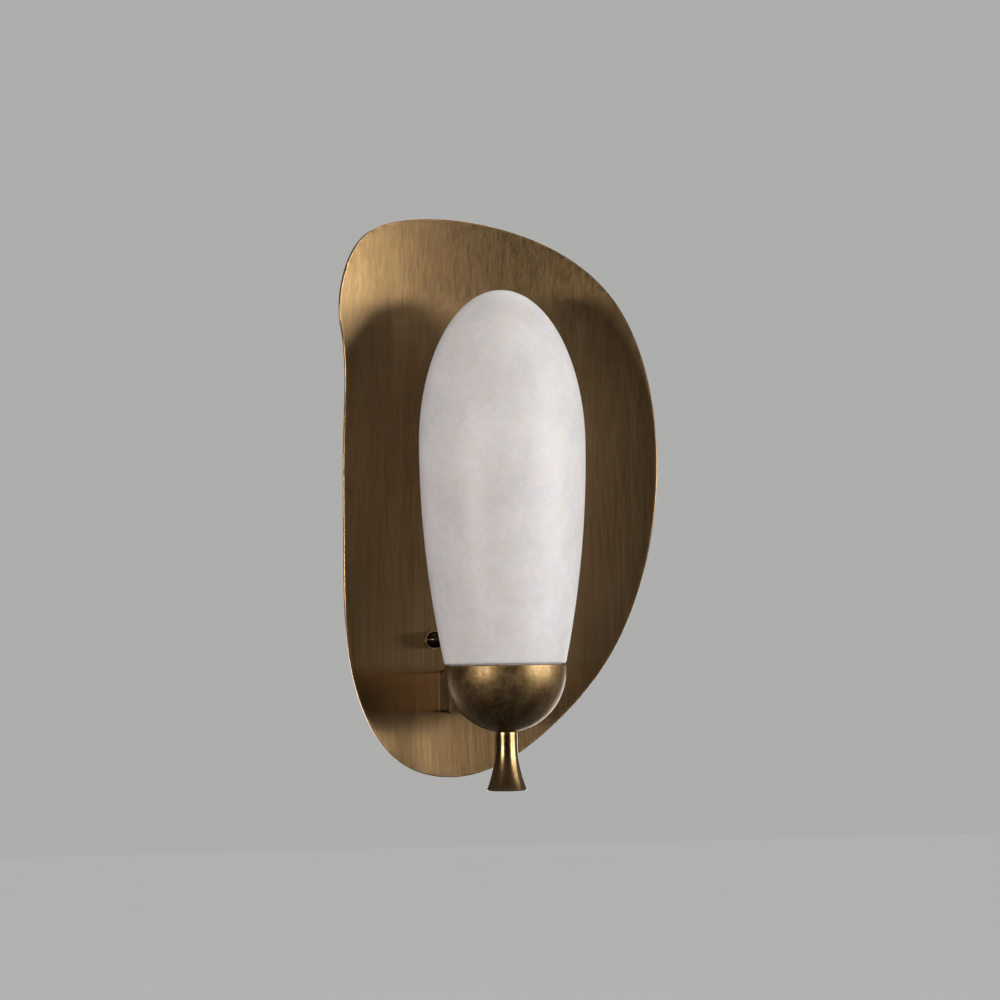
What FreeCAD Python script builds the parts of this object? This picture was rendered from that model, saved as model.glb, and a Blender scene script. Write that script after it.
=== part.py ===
import FreeCAD, Part
import math
import os

# Wall sconce: a dished brass shell on the wall, an arm, and a brass cup that
# holds a hollow alabaster shade, with a flared finial below it.
# The wall is the plane y = 0 and the light comes out towards -Y. The origin is
# the middle of the wall plate's back face. All sizes are in millimetres.

# ---- wall plate ----
plate_thickness = 2.5
box_screw_spacing = 88.9
box_screw_hole = 4.8
plate_edge = 5.55
supply_hole = 24.0

# ---- dished shell ----
sheet = 2.0
stand_off = 22.0
side_bow_radius = 330.0
tall_bow_radius = 2200.0
rim_rise = 16.0
RIM_OUTLINE = [
    (-97.0, 200.0), (-96.5, 232.0), (-82.0, 258.5), (-49.0, 269.5), (-5.0, 267.5),
    (47.0, 250.0), (82.5, 220.5), (101.5, 183.0), (111.0, 125.0), (103.0, 53.0),
    (75.0, -14.5), (36.5, -58.5), (4.0, -81.0), (-27.0, -87.5), (-57.5, -77.0),
    (-74.5, -57.0), (-89.0, -14.0), (-93.0, 60.5), (-93.5, 128.5),
]
blank_margin = 25.0
trim_margin = 8.0

# ---- collar behind the shell ----
collar_wall = 1.5
collar_gap = 4.5

# ---- fixing studs and their cap nuts ----
stud_spacing = 70.0
stud_diameter = 5.0
stud_nut_flats = 8.0
stud_nut_height = 4.0
cap_nut_diameter = 10.5
cap_nut_skirt = 3.5
cap_nut_bore_depth = 6.5
cap_nut_grip = 5.5
cap_nut_edge = 0.4
cap_washer_diameter = 11.5
cap_washer_edge = 0.8

# ---- arm ----
arm_width = 64.0
arm_height = 27.0
arm_wall = 2.0
arm_corner = 2.0
arm_inner_corner = 0.5
arm_level = -33.0
arm_front_reach = 21.0
arm_plate_thickness = 7.0
arm_screw_spacing = 40.0
arm_screw_diameter = 5.0
arm_screw_head = 8.5
arm_screw_head_height = 3.0
arm_screw_grip = 6.0
arm_screw_socket = 3.0
arm_screw_socket_depth = 1.8
backing_width = 58.0
backing_height = 22.0
backing_thickness = 4.5
backing_gap = 1.0
saddle_thickness = 7.0

# ---- cup ----
cup_radius = 37.5
cup_wall = 1.5
cup_lip = 4.0
cup_forward = 95.0
cup_rim_level = -17.0
cup_screw_diameter = 4.0
cup_screw_angle = 24.0
cup_screw_head = 7.0
cup_screw_head_height = 2.4
cup_screw_recess = 2.8
cup_screw_recess_depth = 1.4
cup_screw_grip = 6.0

# ---- bushes for the leads ----
bush_bore = 7.0
bush_wall = 1.5
bush_flange = 2.0
bush_flange_thickness = 1.5
cup_bush_bore = 6.4
cup_bush_wall = 1.2

# ---- seat of the shade ----
gallery_thickness = 1.5
gallery_hole = 13.0
gallery_hole_circle = 36.0
gallery_hole_count = 3
seat_ring_thickness = 2.0
seat_ring_width = 6.0

# ---- alabaster shade ----
shade_radius = 51.6
shade_height = 232.7
shade_waist = 136.0
shade_foot_inset = 0.1
shade_foot_edge = 1.5
shade_seam = 0.6
spigot_gap = 1.5
spigot_depth = 7.0
spigot_wall = 6.5
shade_wall = 8.0
shade_crown = 10.0

# ---- threaded tube, its nuts and washers ----
tube_diameter = 10.0
tube_bore = 8.0
tube_nut_flats = 14.0
tube_nut_height = 3.5
tube_washer_diameter = 18.0
tube_washer_thickness = 1.0
nut_chamfer_share = 0.06
nut_corner_spare = 0.1
cup_washer_flat = 3.0
finial_thread = 9.0

# ---- finial ----
finial_length = 35.6
finial_neck_diameter = 13.7
finial_foot_diameter = 24.8
finial_neck_length = 6.5
finial_foot_edge = 0.6
finial_gap = 0.35
finial_washer_thickness = 0.8
finial_washer_rim = 0.65

# ---- lamp holder ----
holder_rise = 24.0
holder_sleeve_length = 10.0
holder_sleeve_wall = 2.0
holder_flange = 1.5
holder_diameter = 26.0
holder_height = 20.0
holder_edge = 1.0
holder_screw_inset = 2.7
holder_screw_diameter = 3.0
holder_screw_head = 5.2
holder_screw_head_height = 2.0
holder_screw_grip = 6.0
pin_spacing = 9.0
slot_width = 5.0
slot_gap = 2.8
slot_depth = 14.0
slot_foot = 2.5
contact_sheet = 0.4
contact_height = 10.0

# ---- lamp ----
pin_width = 4.0
pin_wire = 1.0
pin_length = 12.0
lamp_base_width = 16.0
lamp_base_depth = 9.0
lamp_base_height = 7.0
lamp_collar_height = 4.0
lamp_bulb_diameter = 18.0
lamp_bulb_wall = 1.0
lamp_bulb_height = 46.0
lamp_board_side = 7.0
lamp_board_height = 34.0

# ---- terminal block on the wall plate ----
terminal_web = 0.3
terminal_length = 17.0
terminal_depth = 12.5
terminal_base_level = 13.5
terminal_axis_depth = 7.0
terminal_tube_diameter = 6.0
terminal_tube_bore = 3.8
terminal_screw_diameter = 2.6
terminal_screw_spacing = 9.0
terminal_screw_length = 3.5
terminal_slot_width = 0.6
terminal_slot_depth = 0.7
terminal_shaft = 4.2
terminal_end_wall = 1.6
terminal_fixing_diameter = 3.0
terminal_fixing_head = 3.4
terminal_fixing_head_height = 1.6

# ---- earth screw and tag on the wall plate ----
earth_side = 26.0
earth_level = -24.0
earth_screw_diameter = 4.0
earth_screw_head = 8.0
earth_screw_head_height = 2.5
earth_slot_width = 1.0
earth_slot_depth = 1.2
tag_ring = 9.0
tag_sheet = 0.8
tag_barrel_length = 7.0
tag_barrel_wall = 0.7
tag_neck_width = 3.0
tag_neck_lap = 2.3

# ---- leads ----
lead_diameter = 2.2
lead_pitch = 3.4
lead_bend = 5.5
lead_entry_rise = 2.8
lead_turn_level = 4.5
lead_tail = 13.6
earth_lead_drop = 14.0
earth_lead_rise = 17.5

# ---- clearances ----
thread_fit = 0.02
screw_clearance = 0.5
stud_clearance = 0.6
bush_fit = 0.1
braze_gap = 0.05
plate_gap = 0.1
seat_gap = 0.05
body_gap = 0.3
overrun = 1.0
same_level = 0.01

# ---- sizes and places that follow from the ones above ----
plate_diameter = box_screw_spacing + 2 * plate_edge
collar_diameter = plate_diameter + 2 * (collar_gap + collar_wall)
terminal_pitch = terminal_tube_diameter + terminal_fixing_head + 2 * terminal_web
dish_front = -(stand_off + sheet)
side_bow_centre = dish_front - side_bow_radius
tall_bow_centre = dish_front - tall_bow_radius
rim_plane = dish_front - rim_rise
cup_centre_level = cup_rim_level - cup_lip
cup_inner = cup_radius - cup_wall
shade_foot_radius = cup_radius - shade_foot_inset
spigot_radius = cup_inner - spigot_gap
shade_bore_radius = spigot_radius - spigot_wall
cup_bottom_level = cup_centre_level - cup_radius
arm_front = -(cup_forward - arm_front_reach)
spigot_level = cup_rim_level - spigot_depth
gallery_top = spigot_level - seat_ring_thickness
gallery_bottom = gallery_top - gallery_thickness
tube_radius = tube_diameter / 2
tube_hole_radius = tube_radius + plate_gap
holder_level = cup_rim_level + holder_rise
holder_seat = holder_level + holder_sleeve_length + holder_flange
holder_top = holder_seat + holder_height
lamp_level = holder_top + body_gap
tube_low = cup_bottom_level - finial_thread
tube_high = holder_level + holder_sleeve_length - plate_gap
backing_back = -(stand_off - backing_thickness)
bush_radius = bush_bore / 2 + bush_wall
cup_bush_radius = cup_bush_bore / 2 + cup_bush_wall
lead_radius = lead_diameter / 2
lead_drop = -cup_forward + gallery_hole_circle / 2
lead_entry_level = holder_seat + lead_entry_rise
slot_floor = holder_top - slot_depth - slot_foot
terminal_middle = terminal_base_level + terminal_length / 2
terminal_axis = -(plate_thickness + terminal_axis_depth)
X_AXIS = FreeCAD.Vector(1, 0, 0)
Y_AXIS = FreeCAD.Vector(0, 1, 0)
Z_AXIS = FreeCAD.Vector(0, 0, 1)


def vec(x, y, z):
    return FreeCAD.Vector(x, y, z)


def rod_y(x, z, radius, y_from, y_to):
    """Round bar along Y."""
    low = min(y_from, y_to)
    return Part.makeCylinder(radius, abs(y_to - y_from), vec(x, low, z), Y_AXIS)


def rod_z(x, y, radius, z_from, z_to):
    """Round bar along Z."""
    low = min(z_from, z_to)
    return Part.makeCylinder(radius, abs(z_to - z_from), vec(x, y, low), Z_AXIS)


def block(x_from, x_to, y_from, y_to, z_from, z_to):
    return Part.makeBox(x_to - x_from, y_to - y_from, z_to - z_from, vec(x_from, y_from, z_from))


def on_circle(radius, degrees, centre_r=0.0, centre_z=0.0):
    """Point of a circle in the turning plane, as (distance from the axis, level)."""
    angle = math.radians(degrees)
    return (centre_r + radius * math.cos(angle), centre_z + radius * math.sin(angle))


def turned(steps):
    """Solid turned about Z. A step is a corner (r, z), or (middle, end) of an arc."""
    corners = [step if not isinstance(step[0], tuple) else step[1] for step in steps]
    edges = []
    for index, step in enumerate(steps[1:] + steps[:1], start=1):
        start = corners[index - 1]
        end = corners[index % len(corners)]
        here = vec(start[0], 0, start[1])
        there = vec(end[0], 0, end[1])
        if isinstance(step[0], tuple):
            middle = vec(step[0][0], 0, step[0][1])
            edges.append(Part.Arc(here, middle, there).toShape())
        elif here.distanceToPoint(there) > 1e-6:
            edges.append(Part.makeLine(here, there))
    face = Part.Face(Part.Wire(edges))
    return face.revolve(vec(0, 0, 0), Z_AXIS, 360)


def at_cup(shape):
    """Moves a shape turned about the origin onto the cup's axis."""
    shape.translate(vec(0, -cup_forward, 0))
    return shape


def ring_z(outer, inner, z_from, z_to):
    return rod_z(0, 0, outer, z_from, z_to).cut(rod_z(0, 0, inner, z_from, z_to))


def ring_y(x, z, outer, inner, y_from, y_to):
    return rod_y(x, z, outer, y_from, y_to).cut(rod_y(x, z, inner, y_from, y_to))


def hex_prism(flats, height):
    """Hexagonal bar standing on the origin along Z."""
    reach = flats / math.sqrt(3)
    corners = []
    for side in range(7):
        angle = math.radians(60 * side)
        corners.append(vec(reach * math.cos(angle), reach * math.sin(angle), 0))
    return Part.Face(Part.makePolygon(corners)).extrude(vec(0, 0, height))


def hex_nut(flats, height, bore):
    """Hexagonal nut with its corners turned off on both faces."""
    chamfer = flats * nut_chamfer_share
    outside = flats / math.sqrt(3) + nut_corner_spare
    face = outside - chamfer
    barrel = turned([(0, 0), (face, 0), (outside, chamfer), (outside, height - chamfer),
                     (face, height), (0, height)])
    nut = hex_prism(flats, height).common(barrel)
    return nut.cut(rod_z(0, 0, bore, -overrun, height + overrun))


def group(shapes):
    return Part.makeCompound(shapes)


# ---- the dish ----

def dish_y(x, z):
    """Depth of the shell's front face at a place on it."""
    across = math.sqrt(side_bow_radius ** 2 - x ** 2)
    swing = tall_bow_radius - side_bow_radius + across
    return tall_bow_centre + math.sqrt(swing ** 2 - z ** 2)


def dish_layer(near, far):
    """Solid between two faces parallel to the dish, these depths behind its front face."""
    half_width = max(abs(x) for x, z in RIM_OUTLINE) + blank_margin
    top = max(z for x, z in RIM_OUTLINE) + blank_margin
    bottom = min(z for x, z in RIM_OUTLINE) - blank_margin
    rows = []
    for depth in (near, far):
        radius = side_bow_radius + depth
        half_angle = math.asin(half_width / radius)
        rows.append([vec(radius * math.sin(turn), side_bow_centre + radius * math.cos(turn), 0)
                     for turn in (-half_angle, 0, half_angle)])
    edges = [
        Part.Arc(*rows[0]).toShape(),
        Part.makeLine(rows[0][2], rows[1][2]),
        Part.Arc(*reversed(rows[1])).toShape(),
        Part.makeLine(rows[1][0], rows[0][0]),
    ]
    strip = Part.Face(Part.Wire(edges))
    pivot = vec(0, tall_bow_centre, 0)
    low = math.degrees(math.asin(bottom / tall_bow_radius))
    high = math.degrees(math.asin(top / tall_bow_radius))
    strip.rotate(pivot, X_AXIS, low)
    return strip.revolve(pivot, X_AXIS, high - low)


def behind_front_face():
    """Solid from the dish's front face back past the wall, to trim what stands on it."""
    return dish_layer(0, stand_off)


def before_back_face():
    """Solid from the dish's back face forward, to trim what stands behind it."""
    return dish_layer(-2 * stand_off, sheet)


def rim_wire(y):
    """Outline of the shell at a depth, spread so that its cut edge is square to the sheet."""
    spread_x = (y - side_bow_centre) / (rim_plane - side_bow_centre)
    spread_z = (y - tall_bow_centre) / (rim_plane - tall_bow_centre)
    curve = Part.BSplineCurve()
    curve.interpolate([vec(x * spread_x, y, z * spread_z) for x, z in RIM_OUTLINE],
                      PeriodicFlag=True)
    return Part.Wire(curve.toShape())


def stud_sides():
    return (-stud_spacing / 2, stud_spacing / 2)


def arm_screw_sides():
    return (-arm_screw_spacing / 2, arm_screw_spacing / 2)


def make_shell():
    reach = rim_rise + trim_margin
    trim = Part.makeLoft([rim_wire(rim_plane - reach), rim_wire(rim_plane + reach)], True, True)
    shell = dish_layer(0, sheet).common(trim)
    for x in stud_sides():
        radius = (stud_diameter + stud_clearance) / 2
        shell = shell.cut(rod_y(x, 0, radius, 0, rim_plane * 2))
    for x in arm_screw_sides():
        radius = (arm_screw_diameter + screw_clearance) / 2
        shell = shell.cut(rod_y(x, arm_level, radius, 0, rim_plane * 2))
    return shell.cut(rod_y(0, arm_level, bush_radius + bush_fit, 0, rim_plane * 2))


def make_collar():
    radius = collar_diameter / 2
    tube = ring_y(0, 0, radius, radius - collar_wall, 0, rim_plane)
    return tube.cut(before_back_face())


# ---- wall plate and what fastens the shell to it ----

def make_wall_plate():
    plate = rod_y(0, 0, plate_diameter / 2, -plate_thickness, 0)
    plate = plate.cut(rod_y(0, 0, supply_hole / 2, -plate_thickness, 0))
    for level in (-box_screw_spacing / 2, box_screw_spacing / 2):
        plate = plate.cut(rod_y(0, level, box_screw_hole / 2, -plate_thickness, 0))
    for x in stud_sides():
        plate = plate.cut(rod_y(x, 0, stud_diameter / 2 + thread_fit, -plate_thickness, 0))
    for x in terminal_fixing_places():
        radius = terminal_fixing_diameter / 2 + thread_fit
        plate = plate.cut(rod_y(x, terminal_middle, radius, -plate_thickness, 0))
    radius = earth_screw_diameter / 2 + thread_fit
    return plate.cut(rod_y(earth_side, earth_level, radius, -plate_thickness, 0))


def cap_washer_front():
    """Front plane of the shaped washers, from the highest point of the dish under them."""
    reach = stud_spacing / 2 + cap_washer_diameter / 2
    return dish_y(reach, 0) - cap_washer_edge


def make_fixing_studs():
    tip = cap_washer_front() - cap_nut_grip
    return group([rod_y(x, 0, stud_diameter / 2, -plate_gap, tip) for x in stud_sides()])


def nut_on_y(nut, x, z, y):
    """Turns a nut made along Z so that it starts at y and reaches towards -Y."""
    nut.rotate(vec(0, 0, 0), X_AXIS, 90)
    nut.translate(vec(x, y, z))
    return nut


def make_stud_nuts():
    nuts = []
    for x in stud_sides():
        nut = hex_nut(stud_nut_flats, stud_nut_height, stud_diameter / 2 + thread_fit)
        nuts.append(nut_on_y(nut, x, 0, -plate_thickness))
    return group(nuts)


def make_cap_washers():
    front = cap_washer_front()
    hole = stud_diameter / 2 + plate_gap
    washers = []
    for x in stud_sides():
        washer = ring_y(x, 0, cap_washer_diameter / 2, hole, front, dish_front + sheet)
        washers.append(washer.cut(behind_front_face()))
    return group(washers)


def make_cap_nuts():
    radius = cap_nut_diameter / 2
    dome_top = cap_nut_skirt + radius
    dome = turned([
        (0, 0), (radius - cap_nut_edge, 0), (radius, cap_nut_edge), (radius, cap_nut_skirt),
        (on_circle(radius, 45, 0, cap_nut_skirt), (0, dome_top)),
    ])
    bore = rod_z(0, 0, stud_diameter / 2 + thread_fit, -overrun, cap_nut_bore_depth)
    nuts = []
    for x in stud_sides():
        nuts.append(nut_on_y(dome.cut(bore), x, 0, cap_washer_front()))
    return group(nuts)


# ---- arm ----

def rounded_bar(width, height, corner, y_from, y_to):
    """Bar along Y with rounded long edges, at the arm's level."""
    right = width / 2
    top = height / 2
    reach = corner * (1 - math.sqrt(0.5))
    edges = []
    for side_x, side_z in ((1, 1), (-1, 1), (-1, -1), (1, -1)):
        beside = vec(side_x * right, y_from, side_z * (top - corner))
        middle = vec(side_x * (right - reach), y_from, side_z * (top - reach))
        above = vec(side_x * (right - corner), y_from, side_z * top)
        if side_x != side_z:
            beside, above = above, beside
        if edges:
            edges.append(Part.makeLine(edges[-1].Vertexes[-1].Point, beside))
        edges.append(Part.Arc(beside, middle, above).toShape())
    edges.append(Part.makeLine(edges[-1].Vertexes[-1].Point, edges[0].Vertexes[0].Point))
    face = Part.Face(Part.Wire(edges))
    face.translate(vec(0, 0, arm_level))
    return face.extrude(vec(0, y_to - y_from, 0))


def cup_outside(growth):
    """Solid of the cup's outer form, grown all round."""
    radius = cup_radius + growth
    ball = Part.makeSphere(radius, vec(0, -cup_forward, cup_centre_level))
    above = rod_z(0, -cup_forward, radius, cup_centre_level, holder_level)
    return ball.fuse(above)


def arm_bore(slack, y_from, y_to):
    width = arm_width - 2 * arm_wall - 2 * slack
    height = arm_height - 2 * arm_wall - 2 * slack
    return rounded_bar(width, height, arm_inner_corner, y_from, y_to)


def make_arm_tube():
    back = -stand_off / 2
    tube = rounded_bar(arm_width, arm_height, arm_corner, arm_front, back)
    tube = tube.cut(arm_bore(0, arm_front - overrun, back + overrun))
    return tube.cut(behind_front_face()).cut(cup_outside(braze_gap))


def arm_plate_front():
    return dish_y(0, arm_level) - arm_plate_thickness


def make_arm_rear_plate():
    plate = arm_bore(plate_gap, arm_plate_front(), -stand_off / 2)
    plate = plate.cut(behind_front_face())
    for x in arm_screw_sides():
        radius = arm_screw_diameter / 2 + thread_fit
        plate = plate.cut(rod_y(x, arm_level, radius, 0, arm_front))
    return plate.cut(rod_y(0, arm_level, bush_radius + bush_fit, 0, arm_front))


def make_backing_plate():
    half = backing_width / 2
    low = arm_level - backing_height / 2
    plate = block(-half, half, rim_plane, backing_back, low, low + backing_height)
    room = collar_diameter / 2 - collar_wall - backing_gap
    plate = plate.common(rod_y(0, 0, room, 0, rim_plane))
    plate = plate.cut(before_back_face())
    for x in arm_screw_sides():
        radius = (arm_screw_diameter + screw_clearance) / 2
        plate = plate.cut(rod_y(x, arm_level, radius, 0, rim_plane))
    return plate.cut(rod_y(0, arm_level, bush_radius + bush_fit, 0, rim_plane))


def make_arm_screws():
    screws = []
    for x in arm_screw_sides():
        tip = dish_y(x, arm_level) - arm_screw_grip
        head_back = backing_back + arm_screw_head_height
        head = rod_y(x, arm_level, arm_screw_head / 2, backing_back, head_back)
        shank = rod_y(x, arm_level, arm_screw_diameter / 2, backing_back, tip)
        socket = hex_prism(arm_screw_socket, arm_screw_socket_depth)
        socket = nut_on_y(socket, x, arm_level, head_back)
        screws.append(head.fuse(shank).cut(socket))
    return group(screws)


def make_lead_bush():
    front = arm_plate_front() - bush_flange_thickness
    back = backing_back + bush_flange_thickness
    sleeve = rod_y(0, arm_level, bush_radius, front, backing_back)
    flange = rod_y(0, arm_level, bush_radius + bush_flange, backing_back, back)
    return sleeve.fuse(flange).cut(rod_y(0, arm_level, bush_bore / 2, front, back))


def make_arm_saddle():
    front = arm_bore(plate_gap, arm_front, arm_plate_front() - bush_flange_thickness)
    saddle = front.common(cup_outside(saddle_thickness)).cut(cup_outside(braze_gap))
    for turn in (-cup_screw_angle, cup_screw_angle):
        radius = cup_screw_diameter / 2 + thread_fit
        saddle = saddle.cut(cup_radial_bar(radius, 0, cup_radius * 2, turn))
    hole = rod_y(0, arm_level, cup_bush_radius + bush_fit, arm_front * 2, 0)
    return saddle.cut(hole)


# ---- cup ----

def cup_radial_bar(radius, near, far, turn):
    """Round bar that points from the cup's centre at the middle of the arm, swung sideways."""
    dip = math.degrees(math.asin((cup_centre_level - arm_level) / cup_radius))
    bar = Part.makeCylinder(radius, far - near, vec(0, near, 0), Y_AXIS)
    bar.rotate(vec(0, 0, 0), X_AXIS, -dip)
    bar.rotate(vec(0, 0, 0), Z_AXIS, turn)
    bar.translate(vec(0, -cup_forward, cup_centre_level))
    return bar


def sphere_level(radius, away):
    """Level of the lower half of a ball round the cup's centre, at a distance from the axis."""
    return cup_centre_level - math.sqrt(radius ** 2 - away ** 2)


def make_cup():
    hole = tube_hole_radius
    lip_start = cup_rim_level - cup_wall / 2
    outer_hole = (hole, sphere_level(cup_radius, hole))
    inner_hole = (hole, sphere_level(cup_inner, hole))
    cup = turned([
        outer_hole,
        (on_circle(cup_radius, -45, 0, cup_centre_level), (cup_radius, cup_centre_level)),
        (cup_radius, lip_start),
        (on_circle(cup_wall / 2, 90, cup_radius - cup_wall / 2, lip_start), (cup_inner, lip_start)),
        (cup_inner, cup_centre_level),
        (on_circle(cup_inner, -45, 0, cup_centre_level), inner_hole),
    ])
    cup = at_cup(cup)
    for turn in (-cup_screw_angle, cup_screw_angle):
        radius = (cup_screw_diameter + screw_clearance) / 2
        cup = cup.cut(cup_radial_bar(radius, 0, cup_radius * 2, turn))
    return cup.cut(rod_y(0, arm_level, cup_bush_radius + bush_fit, -cup_forward, 0))


def make_cup_screws():
    seat = math.sqrt(cup_inner ** 2 - (cup_screw_head / 2) ** 2) - seat_gap
    tip = cup_radius + cup_screw_grip
    screws = []
    for turn in (-cup_screw_angle, cup_screw_angle):
        head = cup_radial_bar(cup_screw_head / 2, seat - cup_screw_head_height, seat, turn)
        shank = cup_radial_bar(cup_screw_diameter / 2, seat, tip, turn)
        top = seat - cup_screw_head_height
        recess = cup_radial_bar(cup_screw_recess / 2, top, top + cup_screw_recess_depth, turn)
        screws.append(head.fuse(shank).cut(recess))
    return group(screws)


def saddle_back(away):
    """Depth of the saddle's back face at its highest point within a distance of the leads."""
    level = min(arm_level + away, cup_centre_level) - cup_centre_level
    return -cup_forward + math.sqrt((cup_radius + saddle_thickness) ** 2 - level ** 2)


def make_cup_bush():
    flange_radius = cup_bush_radius + bush_flange
    flange_front = saddle_back(flange_radius) + seat_gap
    back = flange_front + bush_flange_thickness
    low_wall = math.sqrt(cup_inner ** 2 - (arm_level - cup_bush_radius - cup_centre_level) ** 2)
    front = -cup_forward + low_wall - bush_flange_thickness
    sleeve = rod_y(0, arm_level, cup_bush_radius, front, flange_front)
    flange = rod_y(0, arm_level, flange_radius, flange_front, back)
    return sleeve.fuse(flange).cut(rod_y(0, arm_level, cup_bush_bore / 2, front, back))


def make_gallery():
    """Round plate that hangs in the cup's mouth on the threaded tube."""
    level = gallery_bottom - cup_centre_level
    radius = math.sqrt(cup_inner ** 2 - level ** 2) - plate_gap
    plate = ring_z(radius, tube_hole_radius, gallery_bottom, gallery_top)
    for index in range(gallery_hole_count):
        angle = math.radians(90 + 360 * index / gallery_hole_count)
        x = gallery_hole_circle / 2 * math.cos(angle)
        y = gallery_hole_circle / 2 * math.sin(angle)
        plate = plate.cut(rod_z(x, y, gallery_hole / 2, gallery_bottom, gallery_top))
    return at_cup(plate)


def make_seat_ring():
    outer = spigot_radius
    top = spigot_level - seat_gap
    return at_cup(ring_z(outer, outer - seat_ring_width, gallery_top, top))


# ---- shade ----

def bulge_arc_middle(radius_low, level_low, radius_high, level_high):
    """Middle of the arc that rises from a foot to a waist where it stands upright."""
    run = radius_high - radius_low
    rise = level_high - level_low
    bend = (run ** 2 + rise ** 2) / (2 * run)
    half = math.asin(rise / bend) / 2
    return (radius_high - bend + bend * math.cos(half), level_high - bend * math.sin(half))


def quarter_oval(radius, low, high):
    """Edge of a quarter ellipse from the waist up to the crown, in the XZ plane."""
    rise = high - low
    centre = vec(0, 0, low)
    if rise >= radius:
        oval = Part.Ellipse(vec(0, 0, low + rise), vec(radius, 0, low), centre)
    else:
        oval = Part.Ellipse(vec(radius, 0, low), vec(0, 0, low + rise), centre)
    waist = oval.parameter(vec(radius, 0, low))
    crown = oval.parameter(vec(0, 0, high))
    if waist > crown:
        waist -= 2 * math.pi
    if crown - waist > math.pi:
        crown -= 2 * math.pi
    first, last = min(waist, crown), max(waist, crown)
    return Part.ArcOfEllipse(oval, first, last).toShape()


def egg_solid(foot_radius, foot_level, radius, waist_level, crown_level):
    """Tall egg with a flat foot, turned about Z."""
    foot = vec(foot_radius, 0, foot_level)
    waist = vec(radius, 0, waist_level)
    middle = bulge_arc_middle(foot_radius, foot_level, radius, waist_level)
    edges = [
        Part.makeLine(vec(0, 0, foot_level), foot),
        Part.Arc(foot, vec(middle[0], 0, middle[1]), waist).toShape(),
        quarter_oval(radius, waist_level, crown_level),
        Part.makeLine(vec(0, 0, crown_level), vec(0, 0, foot_level)),
    ]
    face = Part.Face(Part.Wire(edges))
    return face.revolve(vec(0, 0, 0), Z_AXIS, 360)


def make_shade():
    foot = cup_rim_level + shade_seam
    waist = cup_rim_level + shade_waist
    crown = cup_rim_level + shade_height
    outside = egg_solid(shade_foot_radius, foot, shade_radius, waist, crown)
    foot_edges = [edge for edge in outside.Edges
                  if edge.BoundBox.ZMax < foot + same_level
                  and edge.BoundBox.XLength > shade_foot_radius]
    outside = outside.makeFillet(shade_foot_edge, foot_edges)
    spigot = rod_z(0, 0, spigot_radius, spigot_level, foot + shade_foot_edge)
    inside = egg_solid(shade_bore_radius, spigot_level, shade_radius - shade_wall, waist,
                       crown - shade_crown)
    return at_cup(outside.fuse(spigot).cut(inside))


# ---- threaded tube, nuts, washers ----

def make_threaded_tube():
    return at_cup(ring_z(tube_radius, tube_bore / 2, tube_low, tube_high))


def cup_washer_top():
    return cup_bottom_level + cup_wall + cup_washer_flat


def make_tube_nuts():
    levels = (cup_washer_top(), gallery_bottom - tube_nut_height,
              gallery_top + tube_washer_thickness, holder_level - tube_nut_height)
    nuts = []
    for level in levels:
        nut = hex_nut(tube_nut_flats, tube_nut_height, tube_radius + thread_fit)
        nut.translate(vec(0, 0, level))
        nuts.append(at_cup(nut))
    return group(nuts)


def make_tube_washers():
    outer = tube_washer_diameter / 2
    flat = ring_z(outer, tube_hole_radius, gallery_top, gallery_top + tube_washer_thickness)
    dished = ring_z(outer, tube_hole_radius, cup_bottom_level, cup_washer_top())
    ball = Part.makeSphere(cup_inner - seat_gap, vec(0, 0, cup_centre_level))
    return group([at_cup(flat), at_cup(dished.common(ball))])


# ---- finial ----

def finial_top():
    """Level of the neck's top, which clears the round bottom of the cup."""
    return sphere_level(cup_radius, finial_neck_diameter / 2 - finial_washer_rim) - finial_gap


def finial_washer_radius():
    return finial_neck_diameter / 2 - finial_washer_rim


def finial_washer_top():
    return sphere_level(cup_radius, tube_hole_radius) - body_gap


def make_finial_washer():
    top = finial_washer_top()
    outer = finial_washer_radius() - seat_gap
    return at_cup(ring_z(outer, tube_hole_radius, top - finial_washer_thickness, top))


def make_finial():
    top = finial_top()
    foot = top - finial_length
    neck = finial_neck_diameter / 2
    wide = finial_foot_diameter / 2
    bend_top = top - finial_neck_length
    edge_level = foot + finial_foot_edge
    run = wide - neck
    rise = bend_top - edge_level
    bend = (run ** 2 + rise ** 2) / (2 * run)
    half = math.asin(rise / bend) / 2
    flare = (neck + bend - bend * math.cos(half), bend_top - bend * math.sin(half))
    edge_middle = on_circle(finial_foot_edge, -45, wide - finial_foot_edge, edge_level)
    body = turned([
        (0, top), (0, foot), (wide - finial_foot_edge, foot),
        (edge_middle, (wide, edge_level)),
        (flare, (neck, bend_top)),
        (neck, top),
    ])
    pocket_floor = finial_washer_top() - finial_washer_thickness - seat_gap
    pocket = rod_z(0, 0, finial_washer_radius(), pocket_floor, top)
    bore = rod_z(0, 0, tube_radius + thread_fit * 2, tube_low - overrun, top)
    return at_cup(body.cut(pocket).cut(bore))


# ---- lamp holder ----

def pin_places():
    return (-pin_spacing / 2, pin_spacing / 2)


def holder_screw_places():
    reach = holder_diameter / 2 - holder_screw_inset
    return (-reach, reach)


def make_holder_cap():
    sleeve_top = holder_level + holder_sleeve_length
    outer = tube_radius + thread_fit + holder_sleeve_wall
    cap = turned([
        (tube_radius + thread_fit, holder_level), (outer, holder_level), (outer, sleeve_top),
        (holder_diameter / 2, sleeve_top), (holder_diameter / 2, holder_seat),
        (tube_radius + thread_fit, holder_seat),
    ])
    for x in holder_screw_places():
        radius = holder_screw_diameter / 2 + plate_gap
        cap = cap.cut(rod_z(x, 0, radius, sleeve_top, holder_seat))
    return at_cup(cap)


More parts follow.
